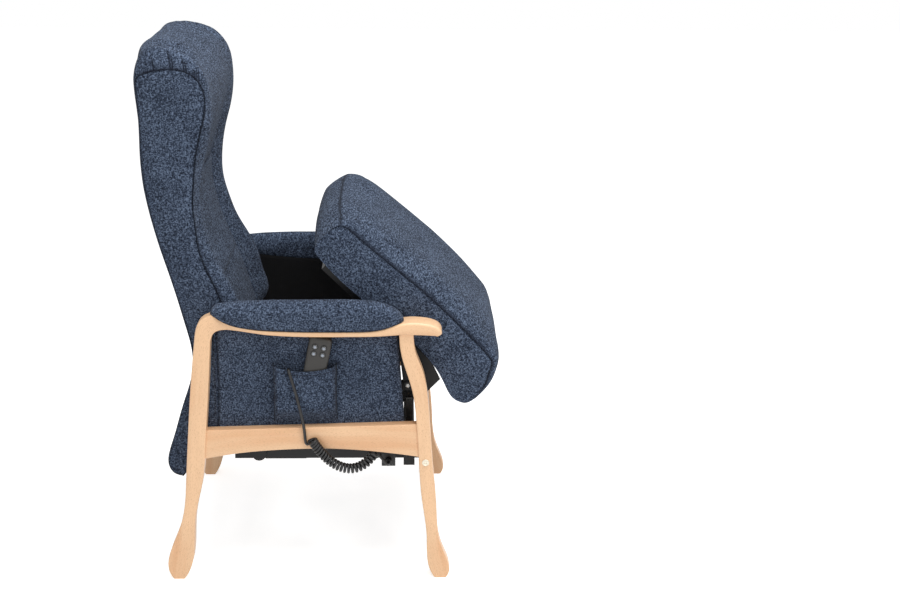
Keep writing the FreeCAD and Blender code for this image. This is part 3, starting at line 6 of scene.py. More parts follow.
import bmesh
import bpy
import numpy as np
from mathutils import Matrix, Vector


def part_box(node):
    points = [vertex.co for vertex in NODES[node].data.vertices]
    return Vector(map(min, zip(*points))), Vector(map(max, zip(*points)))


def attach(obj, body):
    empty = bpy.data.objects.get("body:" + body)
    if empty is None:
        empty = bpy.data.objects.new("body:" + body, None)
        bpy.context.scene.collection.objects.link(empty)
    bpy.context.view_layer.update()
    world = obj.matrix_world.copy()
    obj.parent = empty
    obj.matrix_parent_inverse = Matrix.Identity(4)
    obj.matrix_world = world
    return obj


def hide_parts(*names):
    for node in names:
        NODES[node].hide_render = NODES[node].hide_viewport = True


bl_info = {
    "name": "Lift chair",
    "version": (1, 0, 0),
    "blender": (4, 5, 0),
    "location": "3D View > Sidebar > Lift chair",
    "description": "Upholstery, bentwood, handset, cord and mechanism of a lift chair",
    "category": "Object",
}

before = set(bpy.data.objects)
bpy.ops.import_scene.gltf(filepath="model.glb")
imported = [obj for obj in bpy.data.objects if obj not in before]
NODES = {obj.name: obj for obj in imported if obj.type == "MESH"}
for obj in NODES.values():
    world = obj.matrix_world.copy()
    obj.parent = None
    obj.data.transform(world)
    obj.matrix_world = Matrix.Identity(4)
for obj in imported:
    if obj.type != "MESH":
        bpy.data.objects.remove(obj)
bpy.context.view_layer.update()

MM = 0.001
FOOT_X = 0.247
SIDES = (("right", -1), ("left", 1))

# Outlines of the wood in millimetres: place from the front foot, and height
LEG_REAR_EDGE = ((-579.5, 0), (-583, 5), (-562, 120), (-544, 227), (-535, 340), (-524, 460), (-513, 554))
LEG_FRONT_EDGE = ((-555.5, 0), (-552, 5), (-527, 143), (-509, 228), (-497, 340), (-491, 410), (-481, 542))
OUTER_BEND = ((-513, 554), (-501.5, 588), (-476, 602))
INNER_BEND = ((-481, 542), (-472, 563), (-445, 570))
ARM_TOP_LINE = (
    (-476, 602), (-452, 588), (-405, 575), (-346, 570), (-267, 568), (-188, 568), (-129, 572), (-101, 580)
)
ARM_UNDER_LINE = ((-445, 570), (-386, 563), (-327, 558), (-268, 556), (-188, 556), (-129, 557), (-87, 560))
GRIP_TOP = (
    (-101, 580), (-80, 585.5), (-57, 587), (-34, 585), (-14, 579.5), (-3, 571), (0, 563.5), (-10, 558)
)
GRIP_UNDER = ((-87, 560), (-59, 560), (-30, 559), (-10, 558))
FORE_LEG_REAR = (
    (-12.5, 0), (-16, 5), (-30, 94), (-41, 188), (-48.5, 296), (-53, 366), (-61, 431), (-77, 486),
    (-87, 529), (-89, 560.3)
)
FORE_LEG_FRONT = (
    (12.5, 0), (16, 5), (4, 70), (-9, 164), (-18, 272), (-22, 330), (-27, 400), (-41, 482), (-56, 525),
    (-59, 560.3)
)
RAIL_TOP = ((-520, 344), (-380, 348), (-200, 353), (-30, 358))
RAIL_UNDER = (
    (-520, 276), (-503, 279), (-442, 290), (-350, 299), (-262, 302), (-199, 300), (-115, 292), (-52, 283),
    (-30, 279)
)
LEG_OUTER, LEG_INNER = 0.297, 0.265
ARM_OUTER, ARM_INNER = 0.305, 0.253
RAIL_OUTER, RAIL_INNER = 0.292, 0.268

# Outlines of the back in millimetres, from the tail up
BACK_REAR = (
    (-560, 219), (-576, 225), (-587, 243), (-585, 275), (-573, 312), (-561, 352), (-547, 396), (-532, 442),
    (-526, 495), (-541, 565), (-566, 662), (-588, 740), (-606, 815), (-615, 915), (-619, 1056)
)
BACK_UNDER = (
    (-543, 240), (-536, 272), (-525, 325), (-514, 378), (-502, 434), (-492, 452), (-462, 459), (-436, 466)
)
SIDE_TOP = ((-615, 1084), (-594, 1094), (-550, 1100), (-514, 1095), (-489, 1075), (-478, 1040))
FOLD_TOP = ((-617, 1107), (-593.5, 1123.5), (-556.5, 1129), (-511, 1118), (-483, 1085), (-476, 1045))
BOLSTER_TOP = ((-621, 1111.5), (-603, 1138.5), (-569.5, 1138.5), (-524, 1125), (-485, 1091), (-474, 1045))
CENTRE_TOP = ((-624, 1113), (-609.5, 1144), (-576, 1144.5), (-525, 1131), (-490, 1093), (-477, 1045))
SIDE_FRONT = (
    (-482, 1002), (-494, 955), (-503, 912), (-508, 865), (-511, 818), (-508, 775), (-504, 735), (-495, 698),
    (-474, 648), (-456, 600), (-442, 550), (-430, 500)
)
FOLD_FRONT = (
    (-477, 1005), (-487, 955), (-499, 912), (-507, 865), (-509, 818), (-504, 775), (-494, 735), (-482, 698),
    (-456, 648), (-434, 600), (-421, 550), (-411, 500)
)
BOLSTER_FRONT = (
    (-473, 1005), (-480, 955), (-492, 912), (-501, 865), (-504, 818), (-498, 775), (-487, 735), (-475, 698),
    (-452, 648), (-433, 600), (-419, 550), (-409, 500)
)
CENTRE_FRONT = (
    (-479, 1005), (-490, 955), (-504, 912), (-516, 865), (-521, 818), (-515, 775), (-506, 735), (-494, 698),
    (-473, 648), (-455, 600), (-440, 550), (-426, 500)
)
BACK_HALF = 0.240
BACK_STATIONS = (0.0, 0.34, 0.66, 0.84, 0.945, 1.0)
GATHERS = (
    (-30, 17), (6, 30), (11, 18), (33, 24), (38, 15), (58, 11), (66, 21), (72, 15), (83, 23), (96, 20),
    (107, 24), (113, 16), (124, 15), (133, 10)
)

# Seat in millimetres: along the seat from its datum, and square to it
SEAT_DATUM = (-24, 482)
SEAT_TILT = math.radians(44.5)
SEAT_TOP = (
    (-350, 38), (-347, 66), (-336, 86), (-308, 92), (-120, 103), (74, 100), (99, 94), (112, 76), (124, 42),
    (126, 7)
)
SEAT_UNDER = (
    (-350, 38), (-347, 14), (-342, 4), (-330, 0), (-160, 0), (0, 0), (30, -6), (62, -17), (104, -25),
    (120, -15), (126, 7)
)
SEAT_HALF = 0.238
SEAT_CROWN = 0.030
SEAT_BOW = 0.017

# Arm pads: place, height above the wood, share of the full width
PAD_SECTIONS = (
    (-481, 0, 0.02), (-479, 5, 0.34), (-473, 16, 0.66), (-456, 32, 0.88), (-405, 50, 0.98), (-305, 58, 1),
    (-188, 59, 1), (-130, 50, 0.98), (-104, 34, 0.90), (-88, 19, 0.66), (-81, 7, 0.34), (-79, 0, 0.02)
)
PAD_HALF = 0.0313

# Cord in millimetres: place from the front foot, height, distance out from the middle plane
CORD_WAY_IN = ((-279.5, 408.3, 278.5), (-280.9, 401.2, 278.5))
CORD_DROP = (
    (-287, 391, 277.5), (-301, 390, 277), (-314, 398, 277), (-319.5, 414, 277.5), (-321, 440, 278.5),
    (-321, 464, 279), (-321, 477, 283), (-321, 483, 291.5), (-319, 478, 298.5), (-314, 462, 300.5),
    (-307, 436, 300.5), (-298, 398, 300.5), (-291, 362, 300), (-288.4, 338, 299.5), (-288, 326, 298.8),
    (-287, 318, 298), (-283.6, 314.6, 297.4), (-280, 316.4, 297),
)
COIL_AXIS = ((-272, 326, 305), (-234, 258, 305), (-178, 236, 298), (-143, 287, 281))
COIL_TURNS = 22.75
CORD_PLUG_END = (-113.0, 244.0, 238.0)


# Sizes and colours a user would change
def length(name, words, default):
    return bpy.props.FloatProperty(
        name=name, description=words, default=default, min=0.0, unit="LENGTH", precision=4
    )


def colour(name, words, default):
    return bpy.props.FloatVectorProperty(
        name=name, description=words, default=default, min=0.0, max=1.0, subtype="COLOR_GAMMA", size=3
    )


class ChairSizes(bpy.types.PropertyGroup):
    """Sizes of the fine work on the chair"""

    thread: length("Thread", "Width of one thread of the upholstery cloth", 0.0016)
    seam_roll: length("Seam roll", "How far the cloth rolls down into a seam", 0.0042)
    wood_edge: length("Wood edge", "Radius of the rounded edges of the legs and rails", 0.0028)
    grip_edge: length("Grip edge", "Radius of the rounded edges of the arms", 0.0055)
    swell: length("Swell", "Most that the filling pushes the cloth out", 0.006)
    gather_depth: length("Gather depth", "Depth of the small gathers above the side seam", 0.0026)
    stitch: length("Stitch", "Length of one stitch", 0.0042)
    stitch_width: length("Stitch width", "Width of the sewing thread", 0.0007)
    hem: length("Hem", "Width of the hem at the mouth of the pocket", 0.009)
    cord_width: length("Cord width", "Diameter of the handset cord", 0.0063)
    coil_width: length("Coil width", "Outside diameter of the curls", 0.0222)


class ChairColours(bpy.types.PropertyGroup):
    """Colours of the chair"""

    cloth_light: colour("Cloth, light thread", "Pale threads of the blend", (0.43, 0.49, 0.585))
    cloth_mid: colour("Cloth, middle thread", "Most of the threads", (0.245, 0.285, 0.355))
    cloth_dark: colour("Cloth, dark thread", "Dark threads of the blend", (0.075, 0.095, 0.14))
    wood_light: colour("Beech, light", "Pale bands of the beech", (0.965, 0.805, 0.64))
    wood_dark: colour("Beech, dark", "Warm bands and flecks of the beech", (0.85, 0.64, 0.465))
    lining: colour("Lining", "Black lining cloth", (0.045, 0.045, 0.055))
    steel: colour("Steel", "Black coat of the steel parts", (0.06, 0.06, 0.065))
    handset: colour("Handset", "Moulded handset", (0.165, 0.157, 0.147))
    button: colour("Buttons, rim", "Rims of the gloss buttons", (0.05, 0.055, 0.07))
    # Painted highlight: the pale middle of each button stands in for the gloss highlight on its dark cap.
    button_highlight: colour("Buttons, middle", "Middles of the gloss buttons", (0.52, 0.56, 0.62))
    cord: colour("Cord", "Rubber of the cord", (0.05, 0.05, 0.055))


def sizes():
    return bpy.context.scene.chair_sizes


def colours():
    return bpy.context.scene.chair_colours


# Shader sums written as plain Python
class Reading:
    """A socket whose value can be added, multiplied and compared in Python."""

    def __init__(self, finish, socket):
        self.finish = finish
        self.socket = socket

    def math(self, operation, other=None, swapped=False):
        values = [self] if other is None else [self, other]
        if swapped:
            values = values[::-1]
        return self.finish.node("ShaderNodeMath", {"operation": operation}, dict(enumerate(values)))

    def __add__(self, other):
        return self.math("ADD", other)

    def __mul__(self, other):
        return self.math("MULTIPLY", other)

    def __sub__(self, other):
        return self.math("SUBTRACT", other)

    def __rsub__(self, other):
        return self.math("SUBTRACT", other, True)

    def __truediv__(self, other):
        return self.math("DIVIDE", other)

    def __pow__(self, other):
        return self.math("POWER", other)

    def __gt__(self, other):
        return self.math("GREATER_THAN", other)

    __radd__ = __add__
    __rmul__ = __mul__

    def floor(self):
        return self.math("FLOOR")

    def fraction(self):
        return self.math("FRACT")

    def sine(self):
        return self.math("SINE")

    def modulo(self, other):
        return self.math("MODULO", other)


class Finish:
    """A node material. node() adds one node from its type, its settings and its sockets' values or
    links."""

    def __init__(self, name, **plain):
        self.material = bpy.data.materials.new(name)
        self.material.use_nodes = True
        self.tree = self.material.node_tree
        self.shader = self.tree.nodes["Principled BSDF"]
        for socket, value in plain.items():
            self.shader.inputs[socket.replace("_", " ")].default_value = value

    def node(self, kind, settings=None, values=None, out=0):
        made = self.tree.nodes.new(kind)
        for key, value in (settings or {}).items():
            if key == "stops":
                self.set_stops(made.color_ramp, value)
            else:
                setattr(made, key, value)
        for key, value in (values or {}).items():
            if isinstance(value, Reading):
                self.tree.links.new(value.socket, made.inputs[key])
            else:
                made.inputs[key].default_value = value
        return Reading(self, made.outputs[out])

    @staticmethod
    def set_stops(ramp, stops):
        while len(ramp.elements) < len(stops):
            ramp.elements.new(1.0)
        for element, (place, shade) in zip(ramp.elements, stops):
            element.position = place
            element.color = shade

    def feed(self, **links):
        for socket, reading in links.items():
            self.tree.links.new(reading.socket, self.shader.inputs[socket.replace("_", " ")])
        return self

    def place(self, scale=(1.0, 1.0, 1.0), source=None):
        start = source or self.node("ShaderNodeTexCoord", out="Object")
        return self.node("ShaderNodeMapping", {}, {"Vector": start, "Scale": scale})

    def noise(self, vector, scale, detail=2.0, rough=0.5):
        return self.node(
            "ShaderNodeTexNoise", {},
            {"Vector": vector, "Scale": scale, "Detail": detail, "Roughness": rough}
        )

    def split(self, vector):
        return [self.node("ShaderNodeSeparateXYZ", {}, {"Vector": vector}, out=i) for i in range(3)]

    def join(self, x, y, z=0.0):
        return self.node("ShaderNodeCombineXYZ", {}, {0: x, 1: y, 2: z})

    def ramp(self, reading, stops):
        return self.node("ShaderNodeValToRGB", {"stops": stops}, {"Fac": reading})

    def mix(self, factor, a, b):
        return self.node("ShaderNodeMix", {"data_type": "RGBA"}, {0: factor, 6: a, 7: b}, out=2)

    def blend(self, factor, a, b):
        return self.node("ShaderNodeMix", {"data_type": "FLOAT"}, {0: factor, 2: a, 3: b}, out=0)

    def attribute(self, name, out="Fac"):
        return self.node("ShaderNodeAttribute", {"attribute_name": name}, {}, out=out)

    def bump(self, height, distance, strength=1.0):
        return self.node(
            "ShaderNodeBump", {}, {"Height": height, "Distance": distance, "Strength": strength}
        )


def linear(shade, factor=1.0):
    """The scene-linear colour of a screen colour: the screen's curve undone, times a factor."""
    c = np.asarray(shade, float)
    low, high = c / 12.92, ((c + 0.055) / 1.055) ** 2.4
    return (*(np.where(c <= 0.04045, low, high) * factor).tolist(), 1.0)


def upholstery(name="blue_melange_weave", lift=1.0):
    """Plain weave: threads cross in a check, each a rounded ridge; the tone of a thread wanders along its
    own length."""
    shades = colours()
    cloth = Finish(name, Roughness=0.95, Sheen_Weight=0.04, Sheen_Roughness=0.6, Specular_IOR_Level=0.03)
    u, v, _ = cloth.split(cloth.node("ShaderNodeUVMap", {"uv_map": "cloth"}))
    across, along = u / sizes().thread, v / sizes().thread
    column, row = across.floor(), along.floor()
    warp_up = (column + row).modulo(2.0).math("ABSOLUTE")
    ridge_u = (across.fraction() * math.pi).sine()
    ridge_v = (along.fraction() * math.pi).sine()
    height = cloth.blend(warp_up, ridge_u * (ridge_v * 0.5 + 0.5), ridge_v * (ridge_u * 0.5 + 0.5))
    warp = cloth.noise(cloth.join(column * 3.71, v * 150.0), 1.0, 2.0, 0.6)
    weft = cloth.noise(cloth.join(u * 150.0, row * 4.37, 5.0), 1.0, 2.0, 0.6)
    thread = cloth.blend(warp_up, warp, weft)
    slub_u = cloth.noise(cloth.join(u * 110.0, v * 420.0, 2.0), 1.0, 2.0, 0.65)
    slub_v = cloth.noise(cloth.join(u * 420.0, v * 110.0, 7.0), 1.0, 2.0, 0.65)
    cloud = cloth.noise(cloth.place(), 16.0, 3.0, 0.6)
    fleck = cloth.noise(cloth.place((1.0, 0.35, 1.0)), 350.0, 1.0, 0.6)
    tone = thread * 0.26 + slub_u * 0.30 + slub_v * 0.30 + fleck * 0.72 + cloud * 0.14 - 0.36
    blend = cloth.ramp(tone, [
        (0.33, linear(shades.cloth_dark, lift)),
        (0.50, linear(shades.cloth_mid, lift)),
        (0.67, linear(shades.cloth_light, lift)),
    ])
    # Painted shade: the low parts of the weave, between the threads, are mixed towards a darker cloth colour.
    shaded = cloth.mix(1.0 - height, blend, linear(shades.cloth_dark, 0.7 * lift))
    soft = cloth.mix(0.62, shaded, blend)
    # Painted shade: by a point attribute, the cloth darkens to a deep blue in its seams, gathers, creases and
    # hems.
    with_painted_shade = cloth.mix(cloth.attribute("fold"), soft, linear((0.055, 0.065, 0.10)))
    bump = cloth.bump(height + slub_u * 0.8, 0.0004, 0.55)
    return cloth.feed(Base_Color=with_painted_shade, Normal=bump).material


def black_cloth():
    """Fine black lining: a tight check with a faint cloudy sheen."""
    cloth = Finish("black_lining_cloth", Roughness=0.95, Sheen_Weight=0.15, Specular_IOR_Level=0.2)
    x, y, z = cloth.split(cloth.place((1400.0, 1400.0, 1400.0)))
    height = ((x + z).sine() * (y + z).sine()) * 0.5 + 0.5
    cloud = cloth.noise(cloth.place(), 30.0, 4.0, 0.6)
    tone = height * 0.4 + cloud * 0.6
    shade = cloth.ramp(tone, [(0.3, linear(colours().lining, 0.5)), (0.75, linear(colours().lining, 1.4))])
    return cloth.feed(Base_Color=shade, Normal=cloth.bump(height, 0.0002, 0.5)).material


def beech(name="clear_lacquered_beech", lift=1.0):
    """Beech from the grain attribute, which runs along the piece: slow warm bands, fine long pores, and
    short ray flecks."""
    shades = colours()
    wood = Finish(name, Coat_Weight=0.22, Coat_Roughness=0.28, Specular_IOR_Level=0.45)
    grain = wood.attribute("grain", "Vector")
    bands = wood.noise(wood.place((2.2, 26.0, 26.0), grain), 1.0, 3.0, 0.55)
    wander = wood.noise(wood.place((5.0, 14.0, 14.0), grain), 1.0, 2.0, 0.5)
    pores = wood.noise(wood.place((26.0, 900.0, 900.0), grain), 1.0, 3.0, 0.7)
    flecks = wood.noise(wood.place((210.0, 1350.0, 1350.0), grain), 1.0, 1.0, 0.4)
    fleck_mask = wood.node(
        "ShaderNodeMapRange", {"clamp": True}, {"Value": flecks, "From Min": 0.585, "From Max": 0.70}
    )
    tone = bands * 0.62 + wander * 0.38
    shade = wood.ramp(tone, [
        (0.30, linear(shades.wood_dark, lift * 1.04)),
        (0.50, linear(shades.wood_light, lift * 0.90)),
        (0.68, linear(shades.wood_light, lift)),
    ])
    streaked = wood.mix(pores * 0.34, shade, linear(shades.wood_dark, lift * 0.92))
    flecked = wood.mix(fleck_mask * 0.5, streaked, linear(shades.wood_dark, lift * 0.66))
    bump = wood.bump(pores * 0.6 + flecks * 0.4, 0.00006, 0.5)
    return wood.feed(Base_Color=flecked, Roughness=bands * 0.12 + 0.34, Normal=bump).material


def coated_steel():
    """Black powder coat: fine orange peel, dust in faint clouds."""
    steel = Finish("black_powder_coat", Specular_IOR_Level=0.3)
    peel = steel.noise(steel.place(), 900.0, 3.0, 0.6)
    dust = steel.noise(steel.place(), 24.0, 4.0, 0.65)
    shade = steel.ramp(dust, [(0.35, linear(colours().steel, 0.7)), (0.75, linear(colours().steel, 1.6))])
    return steel.feed(
        Base_Color=shade, Roughness=dust * 0.2 + 0.34, Normal=steel.bump(peel, 0.00012, 0.5)
    ).material


def bright_metal(name, shade, rough, scratch=0.00003):
    """Bare metal: turned lines and a slow change of gloss."""
    metal = Finish(name, Metallic=1.0)
    lines = metal.noise(metal.place((300.0, 4000.0, 300.0)), 1.0, 2.0, 0.6)
    cloud = metal.noise(metal.place(), 120.0, 2.0, 0.5)
    tone = metal.mix(cloud * 0.5, linear(shade), linear(shade, 0.72))
    return metal.feed(
        Base_Color=tone, Roughness=lines * 0.14 + rough, Normal=metal.bump(lines, scratch, 0.5)
    ).material


def moulded(name, shade, rough, grain_scale=1600.0, depth=0.00008, coat=0.0):
    """Moulded plastic or rubber: fine spark texture and faint handling marks."""
    plastic = Finish(name, Coat_Weight=coat, Coat_Roughness=0.08, Specular_IOR_Level=0.5)
    spark = plastic.noise(plastic.place(), grain_scale, 2.0, 0.6)
    marks = plastic.noise(plastic.place(), 60.0, 4.0, 0.65)
    tone = plastic.ramp(marks, [(0.3, linear(shade, 0.85)), (0.75, linear(shade, 1.18))])
    return plastic.feed(
        Base_Color=tone, Roughness=marks * 0.16 + rough, Normal=plastic.bump(spark, depth, 0.45)
    ).material


def made(name, maker, *words, **more):
    """One material of each name, made the first time it is asked for."""
    return bpy.data.materials.get(name) or maker(*words, **more)


def cloth_material():
    return made("blue_melange_weave", upholstery)


def wood_material():
    return made("clear_lacquered_beech", beech)


def lining_material():
    return made("black_lining_cloth", black_cloth)


def steel_material():
    return made("black_powder_coat", coated_steel)


def zinc_material():
    return made("zinc_plate", bright_metal, "zinc_plate", (0.80, 0.80, 0.79), 0.30)


def rod_material():
    return made("polished_rod", bright_metal, "polished_rod", (0.86, 0.86, 0.87), 0.10)


def bolt_material():
    return made("satin_nickel", bright_metal, "satin_nickel", (0.86, 0.83, 0.76), 0.36)


def handset_material():
    return made("handset_plastic", moulded, "handset_plastic", colours().handset, 0.42, 1900.0, 0.0001)


def housing_material():
    return made("housing_plastic", moulded, "housing_plastic", (0.115, 0.115, 0.12), 0.46, 900.0, 0.00014)


def button_cap():
    """Gloss button: a pale domed middle that darkens to the rim by the rim attribute."""
    cap = Finish("button_gloss", Coat_Weight=1.0, Coat_Roughness=0.06, Specular_IOR_Level=0.6)
    marks = cap.noise(cap.place(), 260.0, 3.0, 0.6)
    # Painted highlight: the pale middle colour, varied by faint marks.
    middle = cap.ramp(
        marks, [(0.3, linear(colours().button_highlight, 0.85)), (0.75, linear(colours().button_highlight, 1.1))]
    )
    tone = cap.mix(cap.attribute("fold"), middle, linear(colours().button))
    return cap.feed(Base_Color=tone, Roughness=marks * 0.1 + 0.12).material


def button_material():
    return made("button_gloss", button_cap)


def board_material():
    return made("black_board", moulded, "black_board", (0.05, 0.05, 0.055), 0.9, 500.0, 0.00012)


def cord_material():
    return made("cord_rubber", moulded, "cord_rubber", colours().cord, 0.34, 700.0, 0.00006)


def thread_material():
    return made("sewing_thread", moulded, "sewing_thread", (0.10, 0.12, 0.18), 0.8, 3000.0, 0.0001)


# Curves and grids
def table(points):
    """A table in millimetres as metres."""
    return np.asarray(points, float) * MM


def spline(points, where, knots=None):
    """Natural cubic spline: the piecewise cubic with continuous curvature through the points, knots at
    chord lengths, read at shares of its length."""
    p = np.asarray(points, float)
    if knots is None:
        steps = np.linalg.norm(np.diff(p, axis=0).reshape(len(p) - 1, -1), axis=1)
        knots = np.concatenate([[0.0], np.cumsum(steps)])
        knots = knots / knots[-1]
    knots = np.asarray(knots, float)
    n = len(p)
    flat = p.reshape(n, -1)
    h = np.diff(knots)
    system, target = np.eye(n), np.zeros_like(flat)
    i = np.arange(1, n - 1)
    system[i, i - 1], system[i, i], system[i, i + 1] = h[:-1], 2 * (h[:-1] + h[1:]), h[1:]
    slopes = np.diff(flat, axis=0) / h[:, None]
    target[1:-1] = 6 * np.diff(slopes, axis=0)
    m = np.linalg.solve(system, target)
    t = np.asarray(where, float)
    k = np.clip(np.searchsorted(knots, t, side="right") - 1, 0, n - 2)
    before, after, gap = (t - knots[k])[:, None], (knots[k + 1] - t)[:, None], h[k][:, None]
    read = (m[k] * after**3 + m[k + 1] * before**3) / (6 * gap)
    read += (flat[k] / gap - m[k] * gap / 6) * after + (flat[k + 1] / gap - m[k + 1] * gap / 6) * before
    return read.reshape((len(t),) + p.shape[1:])


def run_of(path):
    """Distance along a path at each of its points."""
    return np.concatenate([[0.0], np.cumsum(np.linalg.norm(np.diff(path, axis=0), axis=1))])


def smooth_step(x):
    """3x squared less 2x cubed, held between 0 and 1."""
    x = np.clip(x, 0, 1)
    return x * x * (3 - 2 * x)


def roll(distance, radius):
    """A quarter round: 1 at the edge falling to 0 a radius away."""
    x = np.clip(1 - distance / radius, 0, 1)
    return 1 - np.sqrt(1 - x * x)


def eased_steps(count):
    """Shares from 0 to 1, close together at both ends like the heights of a half turn."""
    return 0.5 - 0.5 * np.cos(np.linspace(0, math.pi, count))


def mirrored(half, inward):
    """Places from one side to the other, given their distances from an edge up to the middle."""
    return np.concatenate([-(half - inward), (half - inward)[-2::-1]])


def corner_turns(count):
    """Angles of four quarter rounds, and the signs of the corners that they belong to."""
    turns = np.linspace(0, math.pi / 2, count)
    angles = np.concatenate([turns + k * math.pi / 2 for k in range(4)])
    return angles, np.repeat([1, -1, -1, 1], count), np.repeat([1, 1, -1, -1], count)


def end_caps(levels, around):
    """The first and the last ring of a stack as end polygons."""
    return [np.arange(around)[::-1], np.arange(around) + (levels - 1) * around]


def ring_faces(levels, around):
    """Quads of a stack of closed rings."""
    i = np.arange(levels - 1)[:, None] * around
    j = np.arange(around)[None, :]
    k = (j + 1) % around
    return np.stack([i + j, i + k, i + around + k, i + around + j], -1).reshape(-1, 4)


def grid_faces(rows, columns):
    """Quads of an open grid."""
    i = np.arange(rows - 1)[:, None] * columns
    j = np.arange(columns - 1)[None, :]
    return np.stack([i + j, i + j + 1, i + columns + j + 1, i + columns + j], -1).reshape(-1, 4)


def shell_faces(rows, columns):
    """Quads of two like grids back to back, the second one turned round, with a rim between them."""
    total = rows * columns
    faces = grid_faces(rows, columns)
    index = np.arange(total).reshape(rows, columns)
    border = np.concatenate([index[:-1, 0], index[-1, :-1], index[:0:-1, -1], index[0, :0:-1]])
    rim = np.stack([border, np.roll(border, -1), np.roll(border, -1) + total, border + total], 1)
    return np.concatenate([faces, faces[:, ::-1] + total, rim])


def add_object(name, data):
    """A new object with the given data, in the scene."""
    made_object = bpy.data.objects.new(name, data)
    bpy.context.scene.collection.objects.link(made_object)
    return made_object


def build(name, points, faces, ends=(), facts=None, sharp=38.0, weld=True):
    """A mesh object from points, quads and end polygons, with point attributes, welded and facing
    outwards."""
    mesh = bpy.data.meshes.new(name)
    mesh.from_pydata(points.reshape(-1, 3).tolist(), [], faces.tolist() + [list(e) for e in ends])
    for key, values in (facts or {}).items():
        flat = np.asarray(values, np.float32)
        is_vector = flat.shape[-1] == 3 and flat.ndim > 1 and flat.size == points.size
        kind = "FLOAT_VECTOR" if is_vector else "FLOAT"
        layer = mesh.attributes.new(key, kind, "POINT")
        layer.data.foreach_set("vector" if kind == "FLOAT_VECTOR" else "value", flat.ravel())
    if weld:
        work = bmesh.new()
        work.from_mesh(mesh)
        bmesh.ops.remove_doubles(work, verts=work.verts, dist=2e-6)
        bmesh.ops.dissolve_degenerate(work, edges=work.edges, dist=1e-6)
        bmesh.ops.recalc_face_normals(work, faces=work.faces)
        work.to_mesh(mesh)
        work.free()
    mesh.shade_smooth()
    mesh.set_sharp_from_angle(angle=math.radians(sharp))
    return add_object(name, mesh)


def read_points(piece):
    flat = np.empty(len(piece.data.vertices) * 3, np.float32)
    piece.data.vertices.foreach_get("co", flat)
    return flat.reshape(-1, 3).astype(float)


def write_points(piece, points):
    piece.data.vertices.foreach_set("co", points.astype(np.float32).ravel())
    piece.data.update()


def read_painted_shade(piece):
    """How much of a fold or seam each point lies in, from 0 to 1."""
    layer = np.empty(len(piece.data.vertices), np.float32)
    piece.data.attributes["fold"].data.foreach_get("value", layer)
    return layer


def cloth_map(piece, axes=None):
    """Lays the weave flat on each side: every face takes the two axes that it faces least, in metres."""
    mesh = piece.data
    turn = np.eye(3) if axes is None else np.asarray(axes, float)
    local = read_points(piece) @ turn.T
    normals = np.empty(len(mesh.polygons) * 3, np.float32)
    mesh.polygons.foreach_get("normal", normals)
    counts = np.empty(len(mesh.polygons), np.int32)
    mesh.polygons.foreach_get("loop_total", counts)
    corners = np.empty(len(mesh.loops), np.int32)
    mesh.loops.foreach_get("vertex_index", corners)
    facing = np.abs(normals.reshape(-1, 3) @ turn.T).argmax(1)
    facing = np.repeat(facing, counts)
    pairs = np.array([[1, 2], [0, 2], [0, 1]])[facing]
    spots = np.take_along_axis(local[corners], pairs, axis=1) + 3.0
    layer = mesh.uv_layers.new(name="cloth")
    layer.data.foreach_set("uv", spots.astype(np.float32).ravel())
    return piece


def dress(piece, body, material, nodes=()):
    """Gives a piece its material, body, slot and the CAD nodes that it stands for."""
    piece.data.materials.clear()
    piece.data.materials.append(material)
    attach(piece, body)
    if nodes:
        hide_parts(*nodes)
    return piece


def finish_nodes(material, *names):
    for name in names:
        NODES[name].data.materials.clear()
        NODES[name].data.materials.append(material)


# Frames of the cloth simulation, and passes that even out its movement
FILLING_FRAMES = 20
EVENING_PASSES = 40


def swell(piece, held, most, pressure=4.0):
    """Filling: the cloth is blown out for some frames with its seams held. The movement is evened out over
    the mesh, and each point moves by at most the given distance."""
    scene = bpy.context.scene
    rest = read_points(piece)
    pins = piece.vertex_groups.new(name="held")
    pins.add(np.nonzero(held > 0.5)[0].tolist(), 1.0, "REPLACE")
    cloth = piece.modifiers.new("swell", "CLOTH")
    cloth.settings.vertex_group_mass = "held"
    cloth.settings.quality = 4
    cloth.settings.mass = 0.3
    cloth.settings.tension_stiffness = 25
    cloth.settings.compression_stiffness = 25
    cloth.settings.shear_stiffness = 12
    cloth.settings.bending_stiffness = 2.0
    cloth.settings.shrink_min = -0.01
    cloth.settings.use_pressure = True
    cloth.settings.uniform_pressure_force = pressure
    cloth.settings.effector_weights.gravity = 0.0
    cloth.collision_settings.use_collision = False
    for frame in range(1, FILLING_FRAMES + 1):
        scene.frame_set(frame)
    seen = piece.evaluated_get(bpy.context.evaluated_depsgraph_get())
    moved = np.empty(len(rest) * 3, np.float32)
    seen.data.vertices.foreach_get("co", moved)
    move = moved.reshape(-1, 3).astype(float) - rest
    free = (held <= 0.5)[:, None]
    links = np.empty(len(piece.data.edges) * 2, np.int32)
    piece.data.edges.foreach_get("vertices", links)
    links = links.reshape(-1, 2)
    ends = np.concatenate([links, links[:, ::-1]])
    count = np.bincount(ends[:, 0], minlength=len(rest))[:, None] + 1e-9
    for _ in range(EVENING_PASSES):
        near = np.stack(
            [np.bincount(ends[:, 0], move[ends[:, 1], i], len(rest)) for i in range(3)], -1
        ) / count
        move = (move + near) / 2 * free
    size = np.linalg.norm(move, axis=1)[:, None] + 1e-12
    piece.modifiers.remove(cloth)
    piece.vertex_groups.clear()
    scene.frame_set(1)
    write_points(piece, rest + move / size * most * np.tanh(size / most))
    return piece


def path_frames(path, up=(0.0, 0.0, 1.0)):
    """Along, side and normal of each point of a path: the side is square to the way and to a fixed up."""
    way = np.gradient(path, axis=0)
    way /= np.linalg.norm(way, axis=1)[:, None]
    side = np.cross(way, np.asarray(up, float))
    side /= np.linalg.norm(side, axis=1)[:, None] + 1e-12
    return way, side, np.cross(side, way)


